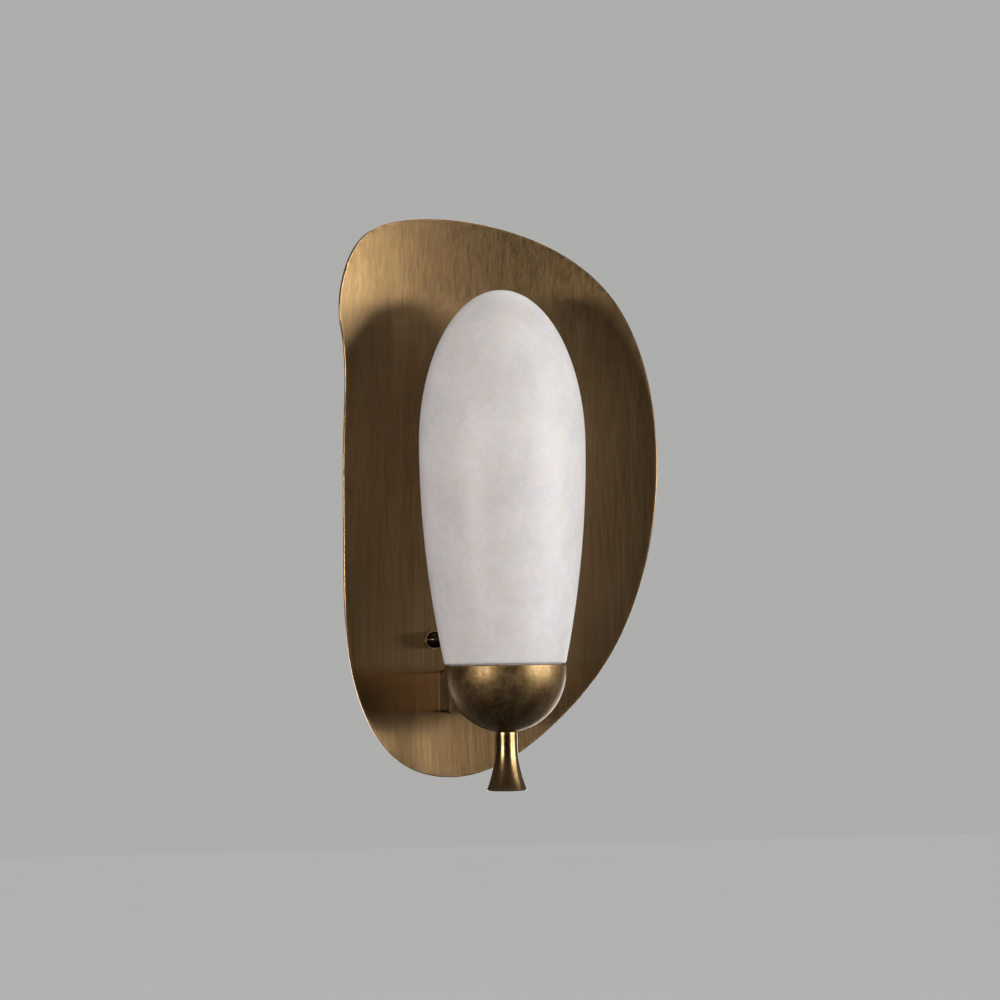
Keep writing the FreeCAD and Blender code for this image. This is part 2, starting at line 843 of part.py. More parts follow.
def make_holder_body():
    body = turned([
        (0, holder_seat), (holder_diameter / 2, holder_seat),
        (holder_diameter / 2, holder_top - holder_edge),
        (holder_diameter / 2 - holder_edge, holder_top), (0, holder_top),
    ])
    for x in holder_screw_places():
        radius = holder_screw_diameter / 2 + thread_fit
        body = body.cut(rod_z(x, 0, radius, holder_seat, holder_seat + holder_screw_grip))
    entry_radius = lead_radius + plate_gap
    for x in pin_places():
        body = body.cut(block(x - slot_width / 2, x + slot_width / 2, -slot_gap / 2, slot_gap / 2,
                              slot_floor, holder_top))
        body = body.cut(rod_y(x, lead_entry_level, entry_radius, 0, holder_diameter))
    return at_cup(body)


def make_holder_screws():
    sleeve_top = holder_level + holder_sleeve_length
    screws = []
    for x in holder_screw_places():
        head = rod_z(x, 0, holder_screw_head / 2, sleeve_top - holder_screw_head_height, sleeve_top)
        shank = rod_z(x, 0, holder_screw_diameter / 2, sleeve_top,
                      holder_seat + holder_screw_grip - plate_gap)
        screws.append(at_cup(head.fuse(shank)))
    return group(screws)


def make_holder_contacts():
    """One folded spring clip in each slot, either side of where the pin goes."""
    contacts = []
    half_out = slot_gap / 2 - seat_gap
    half_in = half_out - contact_sheet
    half_width = slot_width / 2 - plate_gap
    for x in pin_places():
        outer = block(x - half_width, x + half_width, -half_out, half_out,
                      slot_floor, holder_top - slot_depth + contact_height)
        inner = block(x - half_width, x + half_width, -half_in, half_in,
                      slot_floor + contact_sheet, holder_top)
        window = rod_y(x, lead_entry_level, lead_radius + plate_gap, 0, slot_gap)
        contacts.append(at_cup(outer.cut(inner).cut(window)))
    return group(contacts)


# ---- lamp ----

def make_lamp_pins():
    """Two flat loops of wire."""
    pins = []
    for x in pin_places():
        half = pin_width / 2
        low = lamp_level - pin_length
        outer = block(x - half, x + half, -pin_wire / 2, pin_wire / 2, low, lamp_level)
        inner = block(x - half + pin_wire, x + half - pin_wire, -pin_wire / 2, pin_wire / 2,
                      low + pin_wire, lamp_level)
        pins.append(at_cup(outer.cut(inner)))
    solids = []
    for pin in pins:
        solids.extend(pin.Solids)
    return group(solids)


def lamp_collar_top():
    return lamp_level + lamp_base_height + lamp_collar_height


def make_lamp_base():
    foot = block(-lamp_base_width / 2, lamp_base_width / 2, -lamp_base_depth / 2,
                 lamp_base_depth / 2, lamp_level, lamp_level + lamp_base_height)
    top = lamp_collar_top()
    collar = rod_z(0, 0, lamp_bulb_diameter / 2 + lamp_bulb_wall / 2,
                   lamp_level + lamp_base_height, top)
    return at_cup(foot.fuse(collar).removeSplitter())


def make_lamp_bulb():
    low = lamp_collar_top()
    outer = lamp_bulb_diameter / 2
    inner = outer - lamp_bulb_wall
    dome = low + lamp_bulb_height - outer
    return at_cup(turned([
        (inner, low), (outer, low), (outer, dome),
        (on_circle(outer, 45, 0, dome), (0, dome + outer)),
        (0, dome + inner),
        (on_circle(inner, 45, 0, dome), (inner, dome)),
    ]))


def make_lamp_board():
    half = lamp_board_side / 2
    low = lamp_collar_top()
    return at_cup(block(-half, half, -half, half, low, low + lamp_board_height))


# ---- terminal block ----

def terminal_places():
    return (-terminal_pitch, 0.0, terminal_pitch)


def terminal_fixing_places():
    return (-terminal_pitch / 2, terminal_pitch / 2)


def terminal_screw_levels():
    return (terminal_middle - terminal_screw_spacing / 2,
            terminal_middle + terminal_screw_spacing / 2)


def make_terminal_block():
    half = terminal_pitch + terminal_tube_diameter / 2 + terminal_end_wall
    back = -plate_thickness
    front = back - terminal_depth
    top = terminal_base_level + terminal_length
    body = block(-half, half, front, back, terminal_base_level, top)
    for x in terminal_places():
        radius = terminal_tube_diameter / 2 + seat_gap
        body = body.cut(rod_z(x, terminal_axis, radius, terminal_base_level, top))
        for level in terminal_screw_levels():
            body = body.cut(rod_y(x, level, terminal_shaft / 2, front, terminal_axis))
    for x in terminal_fixing_places():
        radius = terminal_fixing_diameter / 2 + plate_gap
        body = body.cut(rod_y(x, terminal_middle, radius, front, back))
        head = terminal_fixing_head / 2 + plate_gap
        body = body.cut(rod_y(x, terminal_middle, head, front, terminal_fixing_seat()))
    return body


def terminal_fixing_seat():
    return -plate_thickness - terminal_depth + terminal_fixing_head_height * 2


def make_terminal_tubes():
    tubes = []
    top = terminal_base_level + terminal_length
    for x in terminal_places():
        tube = rod_z(x, terminal_axis, terminal_tube_diameter / 2, terminal_base_level, top)
        tube = tube.cut(rod_z(x, terminal_axis, terminal_tube_bore / 2, terminal_base_level, top))
        for level in terminal_screw_levels():
            radius = terminal_screw_diameter / 2 + thread_fit
            tube = tube.cut(rod_y(x, level, radius, terminal_axis - terminal_depth, terminal_axis))
        tubes.append(tube)
    return group(tubes)


def make_terminal_screws():
    screws = []
    tip = terminal_axis - lead_radius - seat_gap
    front = tip - terminal_screw_length
    half_slot = terminal_slot_width / 2
    for x in terminal_places():
        for level in terminal_screw_levels():
            screw = rod_y(x, level, terminal_screw_diameter / 2, front, tip)
            slot = block(x - terminal_screw_diameter, x + terminal_screw_diameter, front,
                         front + terminal_slot_depth, level - half_slot, level + half_slot)
            screws.append(screw.cut(slot))
    return group(screws)


def make_terminal_fixings():
    screws = []
    seat = terminal_fixing_seat()
    for x in terminal_fixing_places():
        head = rod_y(x, terminal_middle, terminal_fixing_head / 2,
                     seat - terminal_fixing_head_height, seat)
        shank = rod_y(x, terminal_middle, terminal_fixing_diameter / 2, seat, -plate_gap)
        screws.append(head.fuse(shank))
    return group(screws)


# ---- earth screw, tag ----

def tag_barrel_radius():
    return lead_radius + seat_gap + tag_barrel_wall


def tag_barrel_axis():
    return -plate_thickness - tag_barrel_radius()


def tag_barrel_low():
    return earth_level + tag_ring / 2


def make_earth_tag():
    front = -plate_thickness - tag_sheet
    hole = earth_screw_diameter / 2 + plate_gap
    ring = rod_y(earth_side, earth_level, tag_ring / 2, front, -plate_thickness)
    low = tag_barrel_low()
    neck = block(earth_side - tag_neck_width / 2, earth_side + tag_neck_width / 2,
                 front, -plate_thickness, earth_level, low + tag_neck_lap)
    barrel = rod_z(earth_side, tag_barrel_axis(), tag_barrel_radius(), low,
                   low + tag_barrel_length)
    tag = ring.fuse(neck).fuse(barrel)
    tag = tag.cut(rod_z(earth_side, tag_barrel_axis(), lead_radius + seat_gap, low,
                        low + tag_barrel_length))
    return tag.cut(rod_y(earth_side, earth_level, hole, front, -plate_thickness))


def make_earth_screw():
    seat = -plate_thickness - tag_sheet
    head = rod_y(earth_side, earth_level, earth_screw_head / 2,
                 seat - earth_screw_head_height, seat)
    shank = rod_y(earth_side, earth_level, earth_screw_diameter / 2, seat, -plate_gap)
    front = seat - earth_screw_head_height
    slot = block(earth_side - earth_screw_head, earth_side + earth_screw_head,
                 front, front + earth_slot_depth,
                 earth_level - earth_slot_width / 2, earth_level + earth_slot_width / 2)
    return head.fuse(shank).cut(slot)


# ---- leads ----

def lead_along(points):
    """Round lead along straight runs joined by tangent arcs."""
    edges = []
    start = points[0]
    for before, corner, after in zip(points, points[1:], points[2:]):
        back = before - corner
        ahead = after - corner
        turn = math.pi - back.getAngle(ahead)
        run = lead_bend * math.tan(turn / 2)
        back.normalize()
        ahead.normalize()
        enter = corner + back * run
        leave = corner + ahead * run
        inward = back + ahead
        inward.normalize()
        middle = corner + inward * (lead_bend / math.cos(turn / 2) - lead_bend)
        edges.append(Part.LineSegment(start, enter).toShape())
        edges.append(Part.Arc(enter, middle, leave).toShape())
        start = leave
    edges.append(Part.LineSegment(start, points[-1]).toShape())
    path = Part.Wire(edges)
    heading = points[1] - points[0]
    section = Part.Wire(Part.makeCircle(lead_radius, points[0], heading))
    return path.makePipeShell([section], True, False)


def supply_lead(side, pole):
    """Lead from the lamp holder through the cup and the arm to a pole of the terminal block."""
    holder_side = side * pin_spacing / 2
    lane = side * lead_pitch / 2
    return lead_along([
        vec(holder_side, -cup_forward + slot_gap / 2, lead_entry_level),
        vec(holder_side, lead_drop, lead_entry_level),
        vec(lane, lead_drop, arm_level),
        vec(lane, terminal_axis, arm_level),
        vec(pole, terminal_axis, lead_turn_level),
        vec(pole, terminal_axis, terminal_base_level + lead_tail),
    ])


def make_live_lead():
    return supply_lead(-1, terminal_places()[0])


def make_neutral_lead():
    return supply_lead(1, terminal_places()[1])


def make_earth_lead():
    pole = terminal_places()[2]
    low = tag_barrel_low()
    return lead_along([
        vec(pole, terminal_axis, terminal_base_level + lead_tail),
        vec(pole, terminal_axis, terminal_base_level - earth_lead_drop),
        vec(earth_side, tag_barrel_axis(), low + earth_lead_rise),
        vec(earth_side, tag_barrel_axis(), low + seat_gap),
    ])


MAKERS = {
    "wall_plate": make_wall_plate,
    "fixing_studs": make_fixing_studs,
    "stud_nuts": make_stud_nuts,
    "collar": make_collar,
    "shell": make_shell,
    "cap_washers": make_cap_washers,
    "cap_nuts": make_cap_nuts,
    "backing_plate": make_backing_plate,
    "arm_screws": make_arm_screws,
    "arm_rear_plate": make_arm_rear_plate,
    "arm_tube": make_arm_tube,
    "arm_saddle": make_arm_saddle,
    "lead_bush": make_lead_bush,
    "cup": make_cup,
    "cup_screws": make_cup_screws,
    "cup_bush": make_cup_bush,
    "gallery_plate": make_gallery,
    "seat_ring": make_seat_ring,
    "shade": make_shade,
    "threaded_tube": make_threaded_tube,
    "tube_nuts": make_tube_nuts,
    "tube_washers": make_tube_washers,
    "finial": make_finial,
    "finial_washer": make_finial_washer,
    "holder_cap": make_holder_cap,
    "holder_body": make_holder_body,
    "holder_screws": make_holder_screws,
    "holder_contacts": make_holder_contacts,
    "lamp_pins": make_lamp_pins,
    "lamp_base": make_lamp_base,
    "lamp_bulb": make_lamp_bulb,
    "lamp_board": make_lamp_board,
    "terminal_block": make_terminal_block,
    "terminal_tubes": make_terminal_tubes,
    "terminal_screws": make_terminal_screws,
    "terminal_fixings": make_terminal_fixings,
    "earth_tag": make_earth_tag,
    "earth_screw": make_earth_screw,
    "live_lead": make_live_lead,
    "neutral_lead": make_neutral_lead,
    "earth_lead": make_earth_lead,
}


def main():
    os.makedirs("parts", exist_ok=True)
    for name, make in MAKERS.items():
        shape = make()
        print("%-18s solids %d volume %10.1f valid %s"
              % (name, len(shape.Solids), shape.Volume, shape.isValid()))
        shape.exportStep("parts/%s.step" % name)


main()
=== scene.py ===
import math

import bmesh
import bpy
from mathutils import Matrix, Vector


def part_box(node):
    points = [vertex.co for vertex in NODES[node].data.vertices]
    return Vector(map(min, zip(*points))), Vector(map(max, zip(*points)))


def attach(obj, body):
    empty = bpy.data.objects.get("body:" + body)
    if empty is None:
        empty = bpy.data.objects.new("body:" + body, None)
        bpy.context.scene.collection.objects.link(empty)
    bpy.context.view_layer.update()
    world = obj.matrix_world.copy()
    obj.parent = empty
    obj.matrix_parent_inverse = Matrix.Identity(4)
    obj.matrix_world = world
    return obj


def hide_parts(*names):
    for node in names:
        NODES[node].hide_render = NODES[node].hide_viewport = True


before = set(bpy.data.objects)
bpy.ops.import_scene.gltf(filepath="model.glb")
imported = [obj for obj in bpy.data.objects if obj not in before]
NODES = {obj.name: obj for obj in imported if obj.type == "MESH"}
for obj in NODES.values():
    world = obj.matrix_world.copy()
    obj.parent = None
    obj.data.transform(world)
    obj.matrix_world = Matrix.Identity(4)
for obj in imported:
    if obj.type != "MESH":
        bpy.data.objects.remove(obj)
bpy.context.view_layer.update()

MM = 0.001
TOUCHING = 0.001 * MM
SENSOR_WIDTH = 36.0

bl_info = {
    "name": "Dished Wall Sconce",
    "version": (1, 0, 0),
    "blender": (4, 5, 0),
    "location": "3D View > Sidebar > Sconce",
    "description": "Finishes, fine detail and studio for a brass and alabaster wall sconce",
    "category": "Object",
}


def colour(label, note, value):
    """Colour that a user can change, in linear light."""
    return bpy.props.FloatVectorProperty(
        name=label, description=note, subtype="COLOR", size=3, min=0.0, max=1.0, default=value)


def length(label, note, value, low=0.0, high=1.0):
    """Size that a user can change, in metres."""
    return bpy.props.FloatProperty(
        name=label, description=note, unit="LENGTH", default=value, min=low, max=high, precision=5)


def angle(label, note, degrees):
    """Angle that a user can change, given here in degrees."""
    return bpy.props.FloatProperty(
        name=label, description=note, subtype="ANGLE", default=math.radians(degrees))


# ---------------------------------------------------------------- settings

class SCONCE_PG_brass(bpy.types.PropertyGroup):
    """Colours and texture of the patinated brass, and the rim of the shell"""
    dark: colour("Patina", "Colour of the darkened brass", (0.086, 0.051, 0.020))
    light: colour("Rubbed brass", "Colour where the brush has taken the patina thin",
                  (0.290, 0.190, 0.089))
    gold: colour("Worn brass", "Colour of the band that hands have rubbed along the edges",
                 (0.500, 0.330, 0.145))
    copper: colour("Bare edge", "Colour of the sheet's bare cut edge", (0.780, 0.440, 0.260))
    plain: colour("Plain brass", "Colour of the turned brass inside", (0.700, 0.520, 0.250))
    streak_width: length("Streak width", "Width of one brushed streak", 0.00055)
    streak_length: length("Streak length", "Length of one brushed streak", 0.160)
    worn_band: length("Worn band", "Width of the rubbed band along an edge", 0.0030)
    rim_round: length("Rim rounding", "Radius on the edges of the shell's rim", 0.00055)


class SCONCE_PG_stone(bpy.types.PropertyGroup):
    """Colours and glow of the alabaster"""
    body: colour("Stone", "Main colour of the stone", (0.790, 0.752, 0.738))
    cloud: colour("Cloud", "Colour of the clouds in the stone", (0.690, 0.655, 0.645))
    warm: colour("Warm vein", "Colour of the faint warm veins", (0.760, 0.700, 0.630))
    fleck: colour("Fleck", "Colour of the crystal flecks", (0.900, 0.885, 0.875))
    glow_depth: length("Glow depth", "How far light travels in the stone", 0.006)


class SCONCE_PG_inside(bpy.types.PropertyGroup):
    """Colours and fine sizes of the parts inside"""
    zinc: colour("Zinc", "Colour of the plated steel", (0.600, 0.612, 0.620))
    nickel: colour("Nickel", "Colour of the lamp's pins", (0.700, 0.680, 0.640))
    silicone: colour("Silicone", "Colour of the seat ring and bushes", (0.640, 0.625, 0.590))
    ceramic: colour("Ceramic", "Colour of the lamp holder", (0.800, 0.765, 0.700))
    nylon: colour("Nylon", "Colour of the terminal block", (0.780, 0.775, 0.740))
    plastic: colour("Lamp base", "Colour of the lamp's base", (0.820, 0.820, 0.800))
    board: colour("Board", "Colour of the lamp's board", (0.720, 0.740, 0.720))
    phosphor: colour("Phosphor", "Colour of the light-emitting chips", (0.850, 0.620, 0.120))
    brown: colour("Live lead", "Colour of the live lead", (0.130, 0.055, 0.025))
    blue: colour("Neutral lead", "Colour of the neutral lead", (0.025, 0.110, 0.420))
    green: colour("Earth lead", "Main colour of the earth lead", (0.060, 0.280, 0.050))
    yellow: colour("Earth stripe", "Stripe of the earth lead", (0.780, 0.650, 0.060))
    tube_pitch: length("Tube thread", "Pitch of the thread on the lamp tube", 0.0010)
    stud_pitch: length("Stud thread", "Pitch of the thread on the fixing studs", 0.0008)


class SCONCE_PG_stage(bpy.types.PropertyGroup):
    """Camera, lights and floor"""
    lens: bpy.props.FloatProperty(
        name="Lens", description="Focal length in millimetres on a 36 mm sensor",
        default=90.0, min=20.0, max=300.0)
    distance: length("Distance", "From the point looked at to the camera", 1.6, 0.5, 5.0)
    azimuth: angle("Azimuth", "Turn of the camera round the object", -9.0)
    elevation: angle("Elevation", "Height of the camera as an angle", -4.0)
    roll: angle("Roll", "Lean of the camera", -0.8)
    target: bpy.props.FloatVectorProperty(
        name="Looked at", description="Point in the middle of the picture", subtype="XYZ",
        unit="LENGTH", size=3, default=(0.00637, -0.043, 0.0886))
    floor_level: length("Floor", "Level of the floor", -0.75, -3.0, 0.0)
    floor_reach: length("Floor size", "Half the width of the floor", 9.0, 1.0, 50.0)
    backdrop: colour("Backdrop", "Colour behind the object and of the floor",
                     (0.42, 0.42, 0.415))
    room: colour("Room", "Dim room in front, as the brass mirrors it", (0.012, 0.011, 0.010))
    bounce: colour("Bounce", "Ceiling and floor, as the brass mirrors them",
                   (0.10, 0.098, 0.095))
    wall: colour("Wall", "Wall behind, as the brass mirrors it", (0.20, 0.195, 0.19))
    fill: colour("Fill", "Even light that reaches stone and plastic", (0.30, 0.30, 0.305))


SETTINGS = (("sconce_brass", SCONCE_PG_brass), ("sconce_stone", SCONCE_PG_stone),
            ("sconce_inside", SCONCE_PG_inside), ("sconce_stage", SCONCE_PG_stage))

# Nodes by finish. The cup and finial are turned and have finishes of their own.
BRUSHED = ("arm_tube", "cap_washers", "cap_nuts")
PLAIN_BRASS = ("tube_nuts", "gallery_plate", "holder_cap", "terminal_tubes", "holder_contacts",
               "arm_saddle")
PLATED = ("wall_plate", "stud_nuts", "backing_plate", "arm_rear_plate", "arm_screws",
          "cup_screws", "tube_washers", "holder_screws", "terminal_screws",
          "terminal_fixings", "earth_tag", "earth_screw")
RUBBER = ("seat_ring", "lead_bush", "cup_bush", "finial_washer")

# Turning marks run round the cup's upright axis, which the finial and tube share.
CUP_AXIS = (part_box("cup")[0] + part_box("cup")[1]) / 2


# ---------------------------------------------------------------- node helpers

def add(tree, kind, **settings):
    node = tree.nodes.new(kind)
    for key, value in settings.items():
        setattr(node, key, value)
    return node


def wire(tree, socket, value):
    """Links an output to a socket, or sets the socket where a plain value is given."""
    if isinstance(value, bpy.types.NodeSocket):
        tree.links.new(value, socket)
    elif value is not None:
        socket.default_value = value


def feed(tree, node, **inputs):
    """Sets or links a node's inputs by name, spaces written as underscores."""
    for key, value in inputs.items():
        wire(tree, node.inputs[key.replace("_", " ")], value)


def maths(tree, operation, first, second=None):
    node = add(tree, "ShaderNodeMath", operation=operation)
    for socket, value in zip(node.inputs, (first, second)):
        wire(tree, socket, value)
    return node.outputs[0]


def vector_maths(tree, operation, first, second=None):
    node = add(tree, "ShaderNodeVectorMath", operation=operation)
    for socket, value in zip(node.inputs, (first, second)):
        wire(tree, socket, value)
    return node.outputs["Value" if operation in ("LENGTH", "DOT_PRODUCT") else "Vector"]


def weigh(tree, value, weight):
    return maths(tree, "MULTIPLY", value, weight)


def spread(tree, value, low, high, to_low=0.0, to_high=1.0):
    """Carries a value softly from the range low to high into the range to_low to to_high."""
    node = add(tree, "ShaderNodeMapRange", interpolation_type="SMOOTHSTEP")
    feed(tree, node, Value=value, From_Min=low, From_Max=high, To_Min=to_low, To_Max=to_high)
    return node.outputs["Result"]


def tinted(shade, share):
    """Plain colour dimmed to a share of itself."""
    return tuple(share * part for part in shade)


def blend(tree, factor, first, second):
    """Mixes two colours. Each is an output, or a plain colour of three parts."""
    node = add(tree, "ShaderNodeMix", data_type="RGBA")
    for name, value in (("Factor", factor), ("A", first), ("B", second)):
        socket = next(s for s in node.inputs if s.name == name and s.enabled)
        if name != "Factor" and not isinstance(value, bpy.types.NodeSocket):
            value = (*value, 1)
        wire(tree, socket, value)
    return next(s for s in node.outputs if s.enabled)


def noise(tree, vector, scale=1.0, detail=2.0, roughness=0.5, distortion=0.0):
    node = add(tree, "ShaderNodeTexNoise")
    feed(tree, node, Vector=vector, Scale=scale, Detail=detail, Roughness=roughness,
         Distortion=distortion)
    return node.outputs["Fac"]


def place(tree):
    """Where a point lies on its piece."""
    return add(tree, "ShaderNodeTexCoord").outputs["Object"]


def facing(tree):
    """Which way the surface faces on its piece."""
    return add(tree, "ShaderNodeTexCoord").outputs["Normal"]


def parts_of(tree, vector):
    node = add(tree, "ShaderNodeSeparateXYZ")
    tree.links.new(vector, node.inputs[0])
    return node.outputs


def bump(tree, height, distance, strength=1.0):
    node = add(tree, "ShaderNodeBump")
    feed(tree, node, Height=height, Distance=distance, Strength=strength)
    return node.outputs["Normal"]


def new_group(name, inputs, outputs):
    """Node group with inputs of (name, kind of socket, default) and named outputs."""
    tree = bpy.data.node_groups.new(name, "ShaderNodeTree")
    for label, kind, value in inputs:
        socket = tree.interface.new_socket(label, in_out="INPUT", socket_type=kind)
        socket.default_value = value
    for label in outputs:
        tree.interface.new_socket(label, in_out="OUTPUT", socket_type="NodeSocketFloat")
    return tree, add(tree, "NodeGroupInput").outputs, add(tree, "NodeGroupOutput")


def use(tree, group, **inputs):
    """Places a shared effect with values of its own."""
    node = add(tree, "ShaderNodeGroup", node_tree=bpy.data.node_groups[group])
    feed(tree, node, **inputs)
    return node.outputs


def new_material(name, **constants):
    material = bpy.data.materials.new(name)
    material.use_nodes = True
    tree = material.node_tree
    shader = tree.nodes["Principled BSDF"]
    feed(tree, shader, **constants)
    return material, tree, shader


def paint(nodes, material):
    for name in nodes:
        slots = NODES[name].data.materials
        slots.clear()
        slots.append(material)


# ---------------------------------------------------------------- effects shared by finishes

def make_brush_marks():
    """Upright streaks of a fine brush, and the wider bands that its strokes leave."""
    tree, given, result = new_group(
        "brush_marks",
        (("Width", "NodeSocketFloat", 0.0004), ("Length", "NodeSocketFloat", 0.05)),
        ("Marks", "Bands"))
    size = add(tree, "ShaderNodeCombineXYZ")
    feed(tree, size, X=given["Width"], Y=given["Width"], Z=given["Length"])
    stretched = vector_maths(tree, "DIVIDE", place(tree), size.outputs[0])
    fine = noise(tree, stretched, scale=1.0, detail=1.0)
    coarse = noise(tree, stretched, scale=0.38, detail=1.0)
    wide = noise(tree, stretched, scale=0.05, detail=1.0)
    marks = maths(tree, "ADD", weigh(tree, fine, 0.6), weigh(tree, coarse, 0.4))
    feed(tree, result, Marks=spread(tree, marks, 0.25, 0.75), Bands=spread(tree, wide, 0.2, 0.8))


def make_turning_marks():
    """Fine rings that a lathe tool and the cloth after it leave round an upright axis."""
    tree, given, result = new_group(
        "turning_marks",
        (("Axis", "NodeSocketVector", (0, 0, 0)), ("Pitch", "NodeSocketFloat", 0.0003)),
        ("Marks",))
    from_axis = vector_maths(tree, "SUBTRACT", place(tree), given["Axis"])
    axes = parts_of(tree, from_axis)
    flat = add(tree, "ShaderNodeCombineXYZ")
    feed(tree, flat, X=axes["X"], Y=axes["Y"], Z=0.0)
    away = vector_maths(tree, "LENGTH", flat.outputs[0])
    rings = add(tree, "ShaderNodeCombineXYZ")
    feed(tree, rings, X=maths(tree, "DIVIDE", away, given["Pitch"]), Y=0.0,
         Z=maths(tree, "DIVIDE", axes["Z"], given["Pitch"]))
    marks = noise(tree, rings.outputs[0], scale=0.8, detail=3.0)
    feed(tree, result, Marks=spread(tree, marks, 0.3, 0.7))


def make_rubbed_edges():
    """Soft band along outer edges, broken up as if rubbed by hand."""
    tree, given, result = new_group(
        "rubbed_edges", (("Width", "NodeSocketFloat", 0.002), ("Reach", "NodeSocketFloat", 0.10)),
        ("Mask",))
    rounded = add(tree, "ShaderNodeBevel", samples=6)
    feed(tree, rounded, Radius=given["Width"])
    true_normal = add(tree, "ShaderNodeNewGeometry").outputs["Normal"]
    along = vector_maths(tree, "DOT_PRODUCT", rounded.outputs[0], true_normal)
    turned_away = maths(tree, "SUBTRACT", 1.0, along)
    patches = noise(tree, place(tree), scale=160.0, detail=3.0)
    patchy = spread(tree, patches, 0.25, 0.65, 0.55, 1.2)
    strength = maths(tree, "DIVIDE", weigh(tree, turned_away, patchy), given["Reach"])
    feed(tree, result, Mask=spread(tree, strength, 0.02, 1.0))


def make_clouds():
    """Large soft patches."""
    tree, given, result = new_group(
        "clouds", (("Size", "NodeSocketFloat", 0.03), ("Softness", "NodeSocketFloat", 0.2)),
        ("Mask",))
    scaled = vector_maths(tree, "DIVIDE", place(tree), given["Size"])
    patches = noise(tree, scaled, detail=4.0, roughness=0.55, distortion=0.6)
    low = maths(tree, "SUBTRACT", 0.5, given["Softness"])
    high = maths(tree, "ADD", 0.5, given["Softness"])
    feed(tree, result, Mask=spread(tree, patches, low, high))


def make_specks():
    """Small separate specks. Amount is the share of places that hold one."""
    tree, given, result = new_group(
        "specks", (("Size", "NodeSocketFloat", 0.001), ("Amount", "NodeSocketFloat", 0.2)),
        ("Mask",))
    scaled = vector_maths(tree, "DIVIDE", place(tree), given["Size"])
    cells = add(tree, "ShaderNodeTexVoronoi", feature="F1")
    feed(tree, cells, Vector=scaled, Scale=0.4)
    chance = maths(tree, "LESS_THAN", parts_of(tree, cells.outputs["Color"])["X"], given["Amount"])
    spot = spread(tree, cells.outputs["Distance"], 0.18, 0.42, 1.0, 0.0)
    feed(tree, result, Mask=weigh(tree, spot, chance))


EFFECTS = (make_brush_marks, make_turning_marks, make_rubbed_edges, make_clouds, make_specks)


class SCONCE_OT_effects(bpy.types.Operator):
    """Texture effects that several finishes share"""
    bl_idname = "sconce.effects"
    bl_label = "Texture Effects"

    def execute(self, context):
        for make in EFFECTS:
            make()
        return {"FINISHED"}


# ---------------------------------------------------------------- aged brass

# How far each pattern thins the patina, over the share that is thin everywhere.
THIN_EVERYWHERE = 0.18
THIN_ON_BANDS = 0.13
THIN_IN_PATCHES = 0.14
THIN_ON_BRUSH_MARKS = 0.34
# The reddish stain: how much of it shows, and how dark it is beside the bare copper edge.
REDDISH_SHARE = 0.14
REDDISH_TONE = 0.4
# Painted shade: the arm, collar, cap nuts and washers take these shares of the shell's two brass
# colours.
ARM_PAINTED_SHADE_DARK_TONE = 0.30
ARM_PAINTED_SHADE_LIGHT_TONE = 0.18
RIM_POLISH = 0.08


def level_tangent(tree):
    """Level direction round the surface, square to upright brush marks."""
    normal = add(tree, "ShaderNodeNewGeometry").outputs["Normal"]
    return vector_maths(tree, "CROSS_PRODUCT", (0, 0, 1), normal)


def patina(tree, kit, marks, bands, mark_share, worn, dark, light):
    """Brown patina over brass, thin on the brush marks and rubbed off along the edges."""
    patches = use(tree, "clouds", Size=0.060, Softness=0.36)["Mask"]
    thin = weigh(tree, marks, mark_share)
    thin = maths(tree, "ADD", thin, weigh(tree, bands, THIN_ON_BANDS))
    thin = maths(tree, "ADD", thin, weigh(tree, patches, THIN_IN_PATCHES))
    body = blend(tree, maths(tree, "ADD", thin, THIN_EVERYWHERE), dark, light)
    reddish = use(tree, "clouds", Size=0.050, Softness=0.30)["Mask"]
    body = blend(tree, weigh(tree, reddish, REDDISH_SHARE), body,
                 tinted(kit.copper, REDDISH_TONE))
    return blend(tree, worn, body, kit.gold)


def bare_rim(tree):
    """Where the shell's sheet has been cut and its edge rounded: faces that look sideways."""
    forward = parts_of(tree, facing(tree))["Y"]
    return spread(tree, maths(tree, "ABSOLUTE", forward), 0.60, 0.90, 1.0, 0.0)


def brushed_brass(kit, name, dark, light, with_rim):
    """Upright brushing, which stretches the highlights level, and a bare rim if asked for."""
    material, tree, shader = new_material(
        name, Metallic=1.0, Anisotropic=0.94, Coat_Weight=0.06, Coat_Roughness=0.22)
    brush = use(tree, "brush_marks", Width=kit.streak_width, Length=kit.streak_length)
    worn = use(tree, "rubbed_edges", Width=kit.worn_band, Reach=0.16)["Mask"]
    body = patina(tree, kit, brush["Marks"], brush["Bands"], THIN_ON_BRUSH_MARKS, worn, dark,
                  light)
    rough = spread(tree, brush["Marks"], 0.0, 1.0, 0.245, 0.270)
    if with_rim:
        rim = bare_rim(tree)
        body = blend(tree, rim, body, kit.copper)
        rough = maths(tree, "SUBTRACT", rough, weigh(tree, rim, RIM_POLISH))
    feed(tree, shader, Base_Color=body, Roughness=rough, Tangent=level_tangent(tree),
         Normal=bump(tree, brush["Marks"], distance=0.004 * MM, strength=0.6))
    return material


